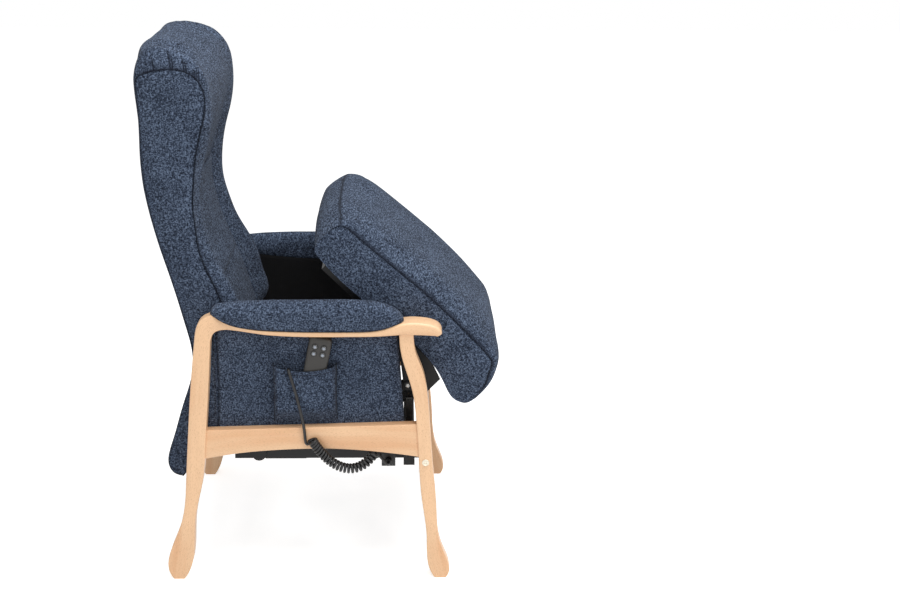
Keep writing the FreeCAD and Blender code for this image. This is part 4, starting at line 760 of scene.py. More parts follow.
def spaced(path, pitch):
    """Points one pitch apart along a path."""
    run = run_of(path)
    where = np.arange(pitch / 2, run[-1], pitch)
    return np.stack([np.interp(where, run, path[:, i]) for i in range(3)], 1)


def stitch_row(name, paths, outward, body):
    """Sewn threads: on each path a row of small six sided beads, each a stretched ball half sunk in the
    cloth."""
    lengthy, width = sizes().stitch, sizes().stitch_width
    beads = []
    for path in paths:
        middle = spaced(np.asarray(path, float), lengthy)
        way, side, _ = path_frames(middle, outward)
        out = np.broadcast_to(np.asarray(outward, float), middle.shape)
        angle = np.linspace(0, 2 * math.pi, 6, endpoint=False)
        rows = []
        for along, wide in ((-0.42, 0.05), (-0.30, 0.8), (0.0, 1.0), (0.30, 0.8), (0.42, 0.05)):
            ring = side[:, None, :] * (np.cos(angle)[None, :, None] * width * 0.5 * wide)
            ring = ring + out[:, None, :] * (np.sin(angle)[None, :, None] * width * 0.42 * wide)
            rows.append(middle[:, None, :] + way[:, None, :] * along * lengthy + ring)
        beads.append(np.stack(rows, 1))
    beads = np.concatenate(beads, 0)
    one = ring_faces(5, 6)
    faces = (one[None] + (np.arange(len(beads)) * 30)[:, None, None]).reshape(-1, 4)
    first = np.arange(6)[None, :] + (np.arange(len(beads)) * 30)[:, None]
    ends = np.concatenate([first[:, ::-1], first + 24])
    piece = build(name, beads, faces, ends.tolist())
    return dress(piece, body, thread_material())


# Wood
def strip(name, outer, inner, low, high, edge):
    """A bent board: between two matched outlines and two y planes, with a rounded rectangle as its
    section. Grain coordinates run along, across and through it."""
    middle, across = (outer + inner) / 2, outer - inner
    half = np.linalg.norm(across, axis=1) / 2
    way = across / (2 * half[:, None] + 1e-9)
    y_middle, y_half = (low + high) / 2, (high - low) / 2
    radius = np.minimum(np.broadcast_to(edge, half.shape), np.minimum(half, y_half) * 0.94)
    angles, sign_a, sign_b = corner_turns(6)
    a = sign_a * (half - radius)[:, None] + radius[:, None] * np.cos(angles)
    b = sign_b * (y_half - radius)[:, None] + radius[:, None] * np.sin(angles)
    x = middle[:, :1] + way[:, :1] * a
    z = middle[:, 1:] + way[:, 1:] * a
    points = np.stack([x, y_middle[:, None] + b, z], -1)
    run = run_of(middle)[:, None] + np.zeros_like(a)
    grain = np.stack([run, a + name.count("left") * 3.1, b + len(name) * 0.37], -1)
    return build(name, points, ring_faces(*a.shape), end_caps(*a.shape), {"grain": grain})


def outline(parts, counts):
    """Several outlines read one after another, each by its own spline."""
    rows = [spline(table(p), np.linspace(0, 1, c)) for p, c in zip(parts, counts)]
    return np.concatenate([rows[0]] + [r[1:] for r in rows[1:]])


def grain_beam(name, low, high, edge):
    """A straight board along y: a rounded rectangle in x and z, drawn in at both ends."""
    low, high = np.asarray(low, float), np.asarray(high, float)
    turns = np.linspace(0, math.pi / 2, 5)
    y = np.concatenate([low[1] + edge * (1 - np.sin(turns[::-1])), high[1] - edge * (1 - np.sin(turns))])
    inset = np.concatenate([edge * (1 - np.cos(turns[::-1])), edge * (1 - np.cos(turns))])
    angles, sign_x, sign_z = corner_turns(5)
    size = (high - low) / 2
    middle = (high + low) / 2
    shrink = inset[:, None]
    x = middle[0] + sign_x * (size[0] - edge - shrink * 0.2) + edge * np.cos(angles) * (1 - shrink / edge)
    z = middle[2] + sign_z * (size[2] - edge - shrink * 0.2) + edge * np.sin(angles) * (1 - shrink / edge)
    points = np.stack([x, y[:, None] + np.zeros_like(x), z], -1)
    grain = np.stack([points[..., 1], points[..., 2], points[..., 0] + len(name)], -1)
    return build(name, points, ring_faces(*x.shape), end_caps(*x.shape), {"grain": grain})


def make_bent_legs():
    """Rear leg and arm in one bent strip, widened along the arm, with a rounded grip."""
    outer = outline((LEG_REAR_EDGE, OUTER_BEND, ARM_TOP_LINE, GRIP_TOP), (70, 22, 60, 46))
    inner = outline((LEG_FRONT_EDGE, INNER_BEND, ARM_UNDER_LINE, GRIP_UNDER), (70, 22, 60, 46))
    outer[:, 0] += FOOT_X
    inner[:, 0] += FOOT_X
    place = (outer[:, 0] + inner[:, 0]) / 2
    knots = FOOT_X + np.array([-0.440, -0.380, -0.014, -0.006, 0.0, 0.004])
    out_y = np.interp(
        place, knots,
        [LEG_OUTER, ARM_OUTER, ARM_OUTER, ARM_OUTER - 0.0016, ARM_OUTER - 0.004, ARM_OUTER - 0.006]
    )
    in_y = np.interp(
        place, knots,
        [LEG_INNER, ARM_INNER, ARM_INNER, ARM_INNER + 0.0016, ARM_INNER + 0.004, ARM_INNER + 0.006]
    )
    edge = np.interp(place, FOOT_X + np.array([-0.50, -0.40]), [sizes().wood_edge, sizes().grip_edge])
    for name, side in SIDES:
        low, high = np.sort(np.stack([side * out_y, side * in_y]), axis=0)
        piece = strip(name + "_bent_leg", outer, inner, low, high, edge)
        dress(piece, "arm_frame", wood_material(), [name + "_rear_leg_arm"])


def make_front_legs():
    rear = spline(table(FORE_LEG_REAR), np.linspace(0, 1, 90))
    front = spline(table(FORE_LEG_FRONT), np.linspace(0, 1, 90))
    rear[:, 0] += FOOT_X
    front[:, 0] += FOOT_X
    for name, side in SIDES:
        low = np.full(90, min(side * LEG_OUTER, side * LEG_INNER))
        piece = strip(name + "_fore_leg", front, rear, low, low + LEG_OUTER - LEG_INNER, sizes().wood_edge)
        dress(piece, "arm_frame", wood_material(), [name + "_front_leg"])


def make_rails():
    share = np.linspace(0, 1, 60)
    top, under = spline(table(RAIL_TOP), share), spline(table(RAIL_UNDER), share)
    x = np.linspace(-0.520, -0.030, 60)
    top = np.stack([x, np.interp(x, top[:, 0], top[:, 1])], 1)
    under = np.stack([x, np.interp(x, under[:, 0], under[:, 1])], 1)
    top[:, 0] += FOOT_X
    under[:, 0] += FOOT_X
    for name, side in SIDES:
        low = np.full(60, min(side * RAIL_OUTER, side * RAIL_INNER))
        piece = strip(name + "_rail", top, under, low, low + RAIL_OUTER - RAIL_INNER, sizes().wood_edge)
        dress(piece, "arm_frame", wood_material(), [name + "_side_rail"])
    for node in ("front_cross_rail", "rear_cross_rail"):
        low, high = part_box(node)
        piece = grain_beam(node.replace("_rail", "_beam"), low, high, sizes().wood_edge)
        dress(piece, "arm_frame", wood_material(), [node])


def make_leg_bolts():
    """Bolt head: rings of a turned profile whose innermost rings pass from a circle to a hexagon, down to
    the floor of the socket."""
    profile = table((
        (0, 0.2, 0), (7.2, 0.2, 0), (7.5, 0.5, 0), (7.5, 1.5, 0), (7.0, 2.0, 0), (5.6, 2.2, 0),
        (5.2, 1.7, 0), (4.9, 1.8, 0), (3.9, 2.1, 0), (3.4, 2.05, 1), (3.1, 1.8, 1), (3.05, 0.3, 1),
        (0, 0.3, 1)
    ))
    angle = np.linspace(0, 2 * math.pi, 48, endpoint=False)
    hexagon = math.cos(math.pi / 6) / np.cos(np.mod(angle, math.pi / 3) - math.pi / 6)
    shape = 1 + (hexagon[None, :] - 1) * (profile[:, 2:] / MM)
    for name, side in SIDES:
        low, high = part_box(name + "_leg_bolt")
        x, z = (low.x + high.x) / 2, (low.z + high.z) / 2
        radius = profile[:, :1] * shape
        y = side * (LEG_OUTER + profile[:, 1:2]) + np.zeros_like(radius)
        points = np.stack([x + radius * np.cos(angle), y, z + radius * np.sin(angle)], -1)
        piece = build(name + "_bolt_head", points, ring_faces(len(profile), 48), sharp=30.0)
        dress(piece, "arm_frame", bolt_material(), [name + "_leg_bolt"])


# Padded pieces
def pillow(name, corner, out_y, in_y, edge, puff, count=(60, 44)):
    """A flat padded panel: corner(u, v) gives x and z; each face stands off the middle by a quarter round
    at the rim, and the outer one by a low dome as well."""
    shares = []
    for steps in count:
        rim = np.sin(np.linspace(-math.pi / 2, math.pi / 2, steps)) * 0.5 + 0.5
        shares.append(0.45 * rim + 0.55 * np.linspace(0, 1, steps))
    u, v = np.meshgrid(*shares, indexing="ij")
    x, z = corner(u, v)
    wide = np.ptp(x, axis=0).mean()
    tall = np.ptp(z, axis=1).mean()
    away_u, away_v = np.minimum(u, 1 - u) * wide, np.minimum(v, 1 - v) * tall
    lift = (1 - roll(away_u, edge)) * (1 - roll(away_v, edge))
    dome = np.sin(math.pi * u) ** 0.6 * np.sin(math.pi * v) ** 0.6 * puff
    middle, half = (out_y + in_y) / 2, (out_y - in_y) / 2
    outer = np.stack([x, middle + half * lift + np.sign(half) * (dome - puff), z], -1)
    inner = np.stack([x, middle - half * lift, z], -1)
    points = np.concatenate([outer.reshape(-1, 3), inner.reshape(-1, 3)])
    return build(name, points, shell_faces(*count), facts={"fold": np.zeros(len(points))})


def under_arm(x):
    """Height of the underside of the arm at a place."""
    line = outline((INNER_BEND, ARM_UNDER_LINE), (30, 60))
    return np.interp(x - FOOT_X, line[:, 0], line[:, 1])


def panel_corner(rear, front_low, front_high, bottom, drop):
    def corner(u, v):
        front = front_low + (front_high - front_low) * v
        x = FOOT_X + rear + (front - rear) * u
        top = under_arm(x) - drop
        return x, bottom + (top - bottom) * v
    return corner


def sink_and_shade_seams(piece, depth, width, paths, push=0.0, way=(0.0, 1.0, 0.0)):
    """Darkens and sinks the cloth near sewn lines by a bell curve of the distance to them."""
    points = read_points(piece)
    near = np.full(len(points), 1.0)
    for path in paths:
        line = spaced(np.asarray(path, float), 0.0015)
        gaps = np.full(len(points), 1.0)
        for start in range(0, len(line), 64):
            chunk = line[start:start + 64]
            span = np.linalg.norm(points[:, None, :] - chunk[None, :, :], axis=2)
            gaps = np.minimum(gaps, span.min(1))
        near = np.minimum(near, gaps)
    bell = np.exp(-((near / width) ** 2))
    darker = np.maximum(read_painted_shade(piece), bell * depth).astype(np.float32)
    piece.data.attributes["fold"].data.foreach_set("value", darker)
    if push:
        write_points(piece, points - np.asarray(way, float) * (bell * push)[:, None])
    return piece


# Side panel and lining: distances out from the middle plane, and the flat strip behind the rear seam
PANEL_BACK = 0.2485
LINING_OUTER = 0.2484
LINING_INNER = 0.2442
STRIP_EDGE = -0.4765
STRIP_BEHIND = 0.262


def make_side_panels():
    corner = panel_corner(-0.499, -0.0745, -0.0925, 0.306, 0.0010)
    inner = panel_corner(-0.470, -0.079, -0.095, 0.308, -0.0150)
    for name, side in SIDES:
        piece = pillow(
            name + "_upholstered_panel", corner, side * RAIL_INNER, side * PANEL_BACK, 0.006, 0.0012,
            (150, 90)
        )
        seam = FOOT_X + np.array([
            [-0.4725, 0, 0.556 - FOOT_X], [-0.4715, 0, 0.44 - FOOT_X], [-0.4765, 0, 0.307 - FOOT_X]
        ])
        seam[:, 1] = side * RAIL_INNER
        line = spline(seam, np.linspace(0, 1, 60))
        # Painted shade along the panel's seam, where the cloth is also sunk.
        sink_and_shade_seams(piece, 0.85, 0.0026, [line], 0.0035, (0, side, 0))
        strip_zone = read_points(piece)
        behind = smooth_step((FOOT_X + STRIP_EDGE - strip_zone[:, 0]) / 0.004)
        behind = behind * (np.abs(strip_zone[:, 1]) > STRIP_BEHIND)
        strip_zone[:, 1] -= side * behind * 0.004
        write_points(piece, strip_zone)
        cloth_map(piece)
        dress(piece, "arm_frame", cloth_material(), [name + "_side_panel"])
        back = pillow(
            name + "_panel_backing", inner, side * LINING_OUTER, side * LINING_INNER, 0.002, 0.0002, (70, 40)
        )
        dress(back, "arm_frame", lining_material(), [name + "_panel_lining"])


def make_arm_pads():
    """Arm pad: a round-shouldered section, full at two fifths of its height, scaled along the arm by the
    pad's width and height."""
    section = np.array([
        (-0.88, 0), (-0.96, 0.18), (-1, 0.42), (-0.94, 0.66), (-0.74, 0.85), (-0.40, 0.965), (0, 1.0)
    ])
    section = np.concatenate([section, section[-2::-1] * (-1, 1)])
    dome = spline(section, np.linspace(0, 1, 56))
    dome[0], dome[-1] = section[0], section[-1]
    bed_line = np.stack([np.linspace(0.88, -0.88, 26)[1:-1], np.zeros(24)], 1)
    ring = np.concatenate([dome, bed_line])
    stations = np.asarray(PAD_SECTIONS, float)
    share = 0.5 * eased_steps(130) + 0.5 * np.linspace(0, 1, 130)
    read = spline(stations, share)
    place = read[:, 0] * MM
    wide = np.clip(read[:, 2], 0.02, 1.0) * PAD_HALF
    tall = np.clip(read[:, 1], 0, None) * MM
    line = outline((ARM_TOP_LINE, GRIP_TOP[:4]), (60, 20))
    bed = np.interp(place, line[:, 0], line[:, 1]) + 0.0003
    for name, side in SIDES:
        middle = side * (ARM_OUTER + ARM_INNER) / 2
        y = middle + wide[:, None] * ring[:, 0]
        z = bed[:, None] + tall[:, None] * ring[:, 1]
        x = FOOT_X + place[:, None] + np.zeros_like(y)
        points = np.stack([x, y, z], -1)
        # Painted shade along the foot of the pad, where it meets the wood.
        low = np.exp(-(ring[:, 1] / 0.05) ** 2)[None, :] * 0.8 + np.zeros_like(y)
        piece = build(
            name + "_padded_arm", points, ring_faces(*y.shape), end_caps(*y.shape), {"fold": low}, sharp=70.0
        )
        held = read_points(piece)[:, 2] < np.interp(
            read_points(piece)[:, 0] - FOOT_X, line[:, 0], line[:, 1]
        ) + 0.004
        swell(piece, held, 0.0022, 3.0)
        cloth_map(piece)
        dress(piece, "arm_frame", cloth_material(), [name + "_arm_pad"])


def seat_space(a, p, y):
    """Seat coordinates to the frame: along the tilted seat, square to it, and across."""
    c, s = math.cos(SEAT_TILT), math.sin(SEAT_TILT)
    x = FOOT_X + SEAT_DATUM[0] * MM + a * c + p * s
    z = SEAT_DATUM[1] * MM - a * s + p * c
    return np.stack([x, y, z], -1)


SEAT_AXES = (
    (math.cos(SEAT_TILT), 0, -math.sin(SEAT_TILT)), (0, 1, 0), (math.sin(SEAT_TILT), 0, math.cos(SEAT_TILT))
)


def edge_spacing(half, near, count):
    """Distances from one edge to the middle, close together at the edge."""
    share = np.linspace(0, 1, count) ** 1.7
    return near * np.linspace(0, 1, count) + (half - near) * share


def make_seat_cushion():
    """Boxed cushion: rings at steps along the seat. Each has a crowned top that rolls down into the side
    seams, flat-bulged sides and a flat base."""
    bend = np.linspace(0, math.pi / 2, 30)
    fine_bend = np.linspace(0, math.pi / 2, 52)
    rear = -350 + 46 * (1 - np.cos(fine_bend))
    front = 126 - 54 * (1 - np.cos(bend[::-1]))
    a = np.concatenate([rear, np.linspace(rear[-1], front[0], 70)[1:-1], front]) * MM
    fine = np.linspace(0, 1, 1600)
    top_line, low_line = spline(table(SEAT_TOP), fine), spline(table(SEAT_UNDER), fine)
    top = np.interp(a, np.maximum.accumulate(top_line[:, 0]), top_line[:, 1])
    low = np.interp(a, np.maximum.accumulate(low_line[:, 0]), low_line[:, 1])
    top[0] = low[0] = 0.038
    top[-1] = low[-1] = 0.007
    y = mirrored(SEAT_HALF, edge_spacing(SEAT_HALF, 0.06, 34))
    share = np.abs(y) / SEAT_HALF
    crown = np.clip(1 - share**5, 0, 1) ** 0.45
    level = a[:, None]
    lift_share = np.interp(
        a, (-0.350, -0.346, -0.338, -0.318, -0.290, -0.12, 0.06, 0.105, 0.122, 0.126),
        (0, 0.25, 0.5, 0.82, 0.95, 1, 0.9, 0.6, 0.3, 0)
    )[:, None]
    edge = (SEAT_HALF - np.abs(y))[None, :]
    from_ends = smooth_step(np.minimum(level + 0.350, 0.126 - level) / 0.012)
    rolled = roll(edge, 0.020) * sizes().seam_roll * from_ends
    top_p = top[:, None] + SEAT_CROWN * crown[None, :] * lift_share - rolled
    nose = smooth_step((level - 0.080) / 0.04) * SEAT_CROWN * 0.5 * crown[None, :]
    tip = smooth_step((level - 0.09) / 0.03)
    top_a = level + nose - tip * rolled
    side_share = eased_steps(26)[1:-1]
    side_height = top_p[:, -1:] + (low[:, None] - top_p[:, -1:]) * side_share[None, :]
    deep = (top_p[:, -1:] - side_height)
    bulge = np.sin(math.pi * side_share)[None, :] * 0.0016 - roll(deep, 0.012) * 0.0042
    side_y = SEAT_HALF - 0.0006 + bulge
    side_a = level + (top_a[:, -1:] - level) * (1 - side_share)[None, :] ** 2
    low_y = y[::-1]
    low_p = low[:, None] + np.zeros((1, len(y)))
    low_a = level + nose * tip
    across = np.concatenate(
        [y[None, :] + np.zeros_like(top_p), side_y, low_y[None, :] + np.zeros_like(low_p), -side_y[:, ::-1]],
        1
    )
    along = np.concatenate([top_a, side_a, low_a, side_a[:, ::-1]], 1)
    square = np.concatenate([top_p, side_height, low_p, side_height[:, ::-1]], 1)
    bow = np.interp(
        np.abs(across) / SEAT_HALF, (0, 0.3, 0.5, 0.62, 0.74, 0.82, 0.9, 0.945, 0.972, 1),
        (1, 1, 0.95, 0.84, 0.65, 0.48, 0.3, 0.15, 0.06, 0)
    )
    bow = bow * smooth_step((-0.292 - along) / 0.046) * np.interp(
        square, (0.0, 0.014, 0.034), (0.5, 0.8, 1.0)
    )
    points = seat_space(along - bow * SEAT_BOW, square, across)
    # Painted shade along the top's side seams, the rear seam and the seams of the sides; the darkest of these
    # points are also held while the cushion fills.
    seam = np.exp(-(edge / 0.0015) ** 2) * 0.85 + np.zeros_like(top_p)
    side_seam_shade = np.exp(-(deep / 0.0013) ** 2) * 0.85
    rear_seam_shade = (np.exp(-(((top - 0.079) / 0.0024) ** 2)) * (a < -0.325) * 0.8)[:, None] * np.ones_like(top_p)
    top_shade = np.maximum(seam, rear_seam_shade)
    fold = np.concatenate([top_shade, side_seam_shade, np.zeros_like(low_p), side_seam_shade[:, ::-1]], 1)
    levels, around = across.shape
    piece = build("seat_upholstery", points, ring_faces(levels, around), facts={"fold": fold}, sharp=60.0)
    world = read_points(piece)
    local = world - seat_space(np.array(0.0), np.array(0.0), np.array(0.0))
    flat = local @ np.asarray(SEAT_AXES).T
    held = (read_painted_shade(piece) > 0.55) | (flat[:, 2] < 0.001)
    swell(piece, held, sizes().swell, 4.0)
    cloth_map(piece, SEAT_AXES)
    dress(piece, "seat", cloth_material(), ["seat_cushion"])
    make_seat_stitches(top_line)


def make_seat_stitches(top_line):
    """Double row of stitches down each front corner, on the profile of the nose."""
    nose = top_line[(top_line[:, 0] > 0.099)]
    rows = []
    for side in (-1, 1):
        for inset in (0.0035, 0.0085):
            y = np.full(len(nose), side * (SEAT_HALF - inset))
            rows.append(seat_space(nose[:, 0] + 0.0006, nose[:, 1], y))
    out = (math.cos(SEAT_TILT), 0.0, -math.sin(SEAT_TILT))
    stitch_row("seat_corner_stitches", rows, out, "seat")


def back_levels():
    """Shares of the way from the tail to the crown: even steps, close together near the crown where the
    gathers are."""
    return np.concatenate([np.linspace(0, 0.83, 118), np.linspace(0.83, 1, 150)[1:]])


def back_profile(top, front):
    """Rear and front x and z of one profile of the back at every level: one spline over the crown, parted
    there and read at shares of the length of each half."""
    line = table(BACK_REAR + top + front + BACK_UNDER[::-1])
    fine = spline(line, np.linspace(0, 1, 3000))
    run = run_of(fine)
    crown = run[np.linalg.norm(fine - table(top[2]), axis=1).argmin()]
    share = back_levels()
    halves = (crown * share, run[-1] + (crown - run[-1]) * share)
    return np.stack([np.stack([np.interp(h, run, fine[:, i]) for i in range(2)], -1) for h in halves])


# Recess of the back for its middle cushion, and the height under which the cloth is held
RECESS_HALF = 0.1495
RECESS_TOP = 0.862
RECESS_LOW = 0.498
BACK_HELD_BELOW = 0.47


def make_back_upholstery():
    """Back: rings at rising levels. Front and rear sheets pass by splines across the width from the
    sides' profile to the middle's; the flat sides are ruled between them."""
    kinds = [back_profile(CENTRE_TOP, CENTRE_FRONT)] * 3
    kinds += [
        back_profile(BOLSTER_TOP, BOLSTER_FRONT), back_profile(FOLD_TOP, FOLD_FRONT),
        back_profile(SIDE_TOP, SIDE_FRONT)
    ]
    knots = np.array([-s for s in BACK_STATIONS[:0:-1]] + list(BACK_STATIONS))
    values = np.stack(kinds[:0:-1] + kinds)
    y = mirrored(BACK_HALF, edge_spacing(BACK_HALF, 0.05, 34))
    sheets = spline(values, y / BACK_HALF, knots)
    rear, front = sheets[:, 0].transpose(1, 0, 2), sheets[:, 1].transpose(1, 0, 2)
    edge = (BACK_HALF - np.abs(y))[None, :]
    levels = len(rear)
    bell = np.exp(-(edge / 0.0020) ** 2)
    seam_z = front[:, -1, 1][:, None]
    rise = np.gradient(np.stack([front[:, -1], rear[:, -1]]), axis=1)
    steps = np.linalg.norm(rise, axis=2)
    front_arc = np.flip(np.cumsum(np.flip(steps[0])))
    rear_arc = -np.flip(np.cumsum(np.flip(steps[1])))
    front_cut, rear_cut = gather_cuts(front_arc, edge), gather_cuts(rear_arc, edge)
    out_front, out_rear = sheet_normals(front, 1), sheet_normals(rear, -1)
    tuck = bell * 0.0016 * smooth_step((seam_z - 0.47) / 0.03)
    front_points = front - out_front * (front_cut + tuck)[..., None]
    rear_points = rear - out_rear * (rear_cut + tuck * 0.7)[..., None]
    recess = smooth_step((RECESS_HALF - np.abs(y)) / 0.004)[None, :]
    recess = recess * smooth_step((RECESS_TOP - front[..., 1]) / 0.006)
    recess = recess * smooth_step((front[..., 1] - RECESS_LOW) / 0.006)
    front_points[..., 0] -= recess * 0.012
    side_share = eased_steps(30)[1:-1]
    rear_end, front_end = rear_points[:, -1], front_points[:, -1]
    side = rear_end[:, None] + (front_end - rear_end)[:, None] * side_share[None, :, None]
    wide = np.linalg.norm(front_end - rear_end, axis=1)[:, None]
    away = np.minimum(side_share, 1 - side_share)[None, :] * wide
    side_y = BACK_HALF - 0.0010 - roll(away, 0.006) * 0.0030 + np.sin(math.pi * side_share)[None, :] * 0.0016
    x = np.concatenate([rear_points[..., 0], side[..., 0], front_points[:, ::-1, 0], side[:, ::-1, 0]], 1)
    z = np.concatenate([rear_points[..., 1], side[..., 1], front_points[:, ::-1, 1], side[:, ::-1, 1]], 1)
    flat_y = y[None, :] + np.zeros((levels, 1))
    across = np.concatenate([flat_y, side_y, flat_y[:, ::-1], -side_y[:, ::-1]], 1)
    points = np.stack([FOOT_X + x, across, z], -1)
    # Painted shade in the seams, along the sides' seams and in the gathers; the darkest points also stay held
    # while the back fills.
    seam = bell * 0.95 * smooth_step((seam_z - 0.44) / 0.05)
    side_shade = np.exp(-(away / 0.0020) ** 2) * 0.95 * smooth_step((seam_z - 0.44) / 0.05)
    side_shade = side_shade * (side_share[None, :] > 0.5) + side_shade * 0.4 * (side_share[None, :] <= 0.5)
    top_rear = smooth_step((rear[:, -1, 1][:, None] - 1.05) / 0.01)
    rear_shade = np.clip(rear_cut / sizes().gather_depth, 0, 1) * 0.9
    front_shade = np.clip(front_cut / sizes().gather_depth, 0, 1) * 0.9
    rear_shade = np.maximum(rear_shade, seam * (0.35 + 0.65 * top_rear))
    front_shade = np.maximum(front_shade, seam)
    fold = np.concatenate([rear_shade, side_shade, front_shade[:, ::-1], side_shade[:, ::-1]], 1)
    around = across.shape[1]
    ends = [np.arange(around)[::-1]]
    piece = build("back_upholstery", points, ring_faces(levels, around), ends, {"fold": fold}, sharp=60.0)
    held = (read_painted_shade(piece) > 0.5) | (read_points(piece)[:, 2] < BACK_HELD_BELOW)
    swell(piece, held, 0.0025, 3.0)
    cloth_map(piece)
    dress(piece, "back", cloth_material(), ["back_body"])


def gather_cuts(arc, edge):
    """Depth of the gathers: bells along the seam that widen towards it like wedges and end where the
    gather ends."""
    cuts = np.zeros((len(arc), edge.shape[1]))
    for place, reach in GATHERS:
        left = np.clip(1 - (edge - 0.002) / (reach * MM * 0.85), 0, 1)
        ridge = np.exp(-(((arc - place * MM)[:, None] / (0.0011 + 0.0013 * left)) ** 2))
        cuts = np.maximum(cuts, ridge * smooth_step(left * 1.7) * smooth_step(edge / 0.002))
    return cuts * sizes().gather_depth


def sheet_normals(sheet, sign):
    """Outward directions in x and z of a sheet of stacked lines: its way turned by a quarter turn."""
    way = np.gradient(sheet, axis=0)
    way = way / (np.linalg.norm(way, axis=2)[..., None] + 1e-12)
    return np.stack([way[..., 1], -way[..., 0]], -1) * sign


# Middle cushion: top, half width, and its lumbar crease
PAD_TOP = 0.860
CENTRE_HALF = 0.1485
CREASE_HEIGHT = 0.640
CREASE_DEPTH = 0.0022


def make_centre_pad():
    """Middle cushion of the back: the centre profile as a domed sheet between the wings, with a lumbar
    crease, closed behind."""
    fine = spline(table(CENTRE_FRONT[3:]), np.linspace(0, 1, 1200))
    z = PAD_TOP - 0.0016 - eased_steps(110) * (PAD_TOP - 0.0032 - 0.5)
    z = 0.5 * z + 0.5 * np.linspace(z[0], z[-1], 110)
    x = np.interp(z, fine[::-1, 1], fine[::-1, 0])
    y = mirrored(CENTRE_HALF, edge_spacing(CENTRE_HALF, 0.03, 24))
    edge = (CENTRE_HALF - np.abs(y))[None, :]
    ends = np.minimum(z[0] - z, z - z[-1])[:, None]
    dome = 0.0035 + 0.0035 * np.cos(y / CENTRE_HALF * math.pi / 2)[None, :] * np.ones((110, 1))
    drop = roll(edge, 0.014) * 0.012 + roll(ends, 0.014) * 0.012
    crease = np.exp(-(((z[:, None] - CREASE_HEIGHT) / 0.004) ** 2)) * CREASE_DEPTH * smooth_step(edge / 0.02)
    front_x = x[:, None] + dome - drop - crease
    front = np.stack(
        [FOOT_X + front_x, y[None, :] + np.zeros_like(front_x), z[:, None] + np.zeros_like(front_x)], -1
    )
    rear = front.copy()
    rear[..., 0] = FOOT_X + x[:, None] - 0.0125
    # Painted shade round the rim, at the ends and in the lumbar crease; the closed rear sheet is darkened
    # fully, and the rim and the rear stay held while the cushion fills.
    fold = np.exp(-(np.minimum(edge, ends) / 0.003) ** 2) * 0.75
    fold = np.maximum(fold, crease / CREASE_DEPTH * 0.35)
    points = np.concatenate([front.reshape(-1, 3), rear.reshape(-1, 3)])
    facts = {"fold": np.concatenate([fold.ravel(), np.ones(front_x.size)])}
    piece = build("back_middle_cushion", points, shell_faces(*front_x.shape), facts=facts, sharp=60.0)
    swell(piece, read_painted_shade(piece) > 0.5, 0.003, 3.0)
    cloth_map(piece)
    dress(piece, "back", cloth_material(), ["back_centre_pad"])


# Pocket: rear side behind the front foot, width, mean height, heights of lip and lower edge, sag of the lip
POCKET_REAR = 0.3555
POCKET_WIDTH = 0.1355
POCKET_HEIGHT = 0.1255
POCKET_LIP = 0.4885
POCKET_SAG = 0.0125
POCKET_LOW = 0.357


def make_pocket():
    """Pocket: an open sheet that stands off the panel, deepest at the mouth, with steep flanks, a sagging
    hemmed lip and two rows of stitches at each side."""
    u = 0.5 * eased_steps(90) + 0.5 * np.linspace(0, 1, 90)
    v = np.concatenate([np.linspace(0, 0.86, 60), np.linspace(0.86, 1, 26)[1:]])
    uu, vv = np.meshgrid(u, v, indexing="ij")
    lip = POCKET_LIP - POCKET_SAG * (1 - (2 * uu - 1) ** 2)
    low = POCKET_LOW + 0.004 * uu
    x = FOOT_X - POCKET_REAR + uu * POCKET_WIDTH + 0.0015 * np.sin(math.pi * vv) * (0.5 - uu) * 2
    z = low + (lip - low) * vv
    flank = np.minimum(uu, 1 - uu) * POCKET_WIDTH
    open_ = 0.0030 + 0.0205 * smooth_step((vv + 0.01) / 0.32)
    rise = 1 - roll(flank, 0.010)
    wave = 0.0007 * np.sin(uu * 19.0 + 1.0) * np.sin(vv * 9.0) * smooth_step(flank / 0.02)
    depth = 0.0006 + (open_ - 0.0006) * rise + wave
    under_lip = (1 - vv) * (lip - low)
    from_hem = under_lip - sizes().hem
    hem = smooth_step(-from_hem / 0.0012)
    depth = depth + hem * 0.0007 - np.exp(-((from_hem / 0.0010) ** 2)) * 0.0005
    y = -(RAIL_INNER + depth)
    # Painted shade along the hem, down the flanks where the pocket meets the panel, and in a line beside each
    # flank.
    fold = np.exp(-((from_hem / 0.0012) ** 2)) * 0.45 + np.exp(-((flank / 0.0022) ** 2)) * 0.85
    fold = np.maximum(fold, np.exp(-(((flank - 0.006) / 0.0012) ** 2)) * 0.35)
    points = np.stack([x, y, z], -1)
    piece = build("pocket_cloth", points, grid_faces(90, 85), facts={"fold": fold}, weld=False, sharp=60.0)
    flip_to(piece, (0, -1, 0))
    cloth_map(piece)
    wall = piece.modifiers.new("wall", "SOLIDIFY")
    wall.thickness = 0.0018
    wall.offset = -1.0
    dress(piece, "arm_frame", cloth_material(), ["pocket"])
    rows = []
    for first in (0.0035, 0.0082):
        for flip in (False, True):
            near = int(np.argmin(np.abs(u * POCKET_WIDTH - first)))
            column = points[-1 - near] if flip else points[near]
            rows.append(column[2:] + (0, -0.0003, 0))
    hem_row = int(np.argmin(np.abs((1 - v) * POCKET_HEIGHT - sizes().hem * 0.9)))
    rows.append(points[4:-4, hem_row] + (0, -0.0003, 0))
    stitches = stitch_row("pocket_stitches", rows, (0, -1, 0), "arm_frame")


def flip_to(piece, way):
    """Turns an open sheet so that it faces a given way."""
    mesh = piece.data
    normals = np.empty(len(mesh.polygons) * 3, np.float32)
    mesh.polygons.foreach_get("normal", normals)
    if (normals.reshape(-1, 3) @ np.asarray(way, float)).mean() < 0:
        mesh.flip_normals()
    return piece


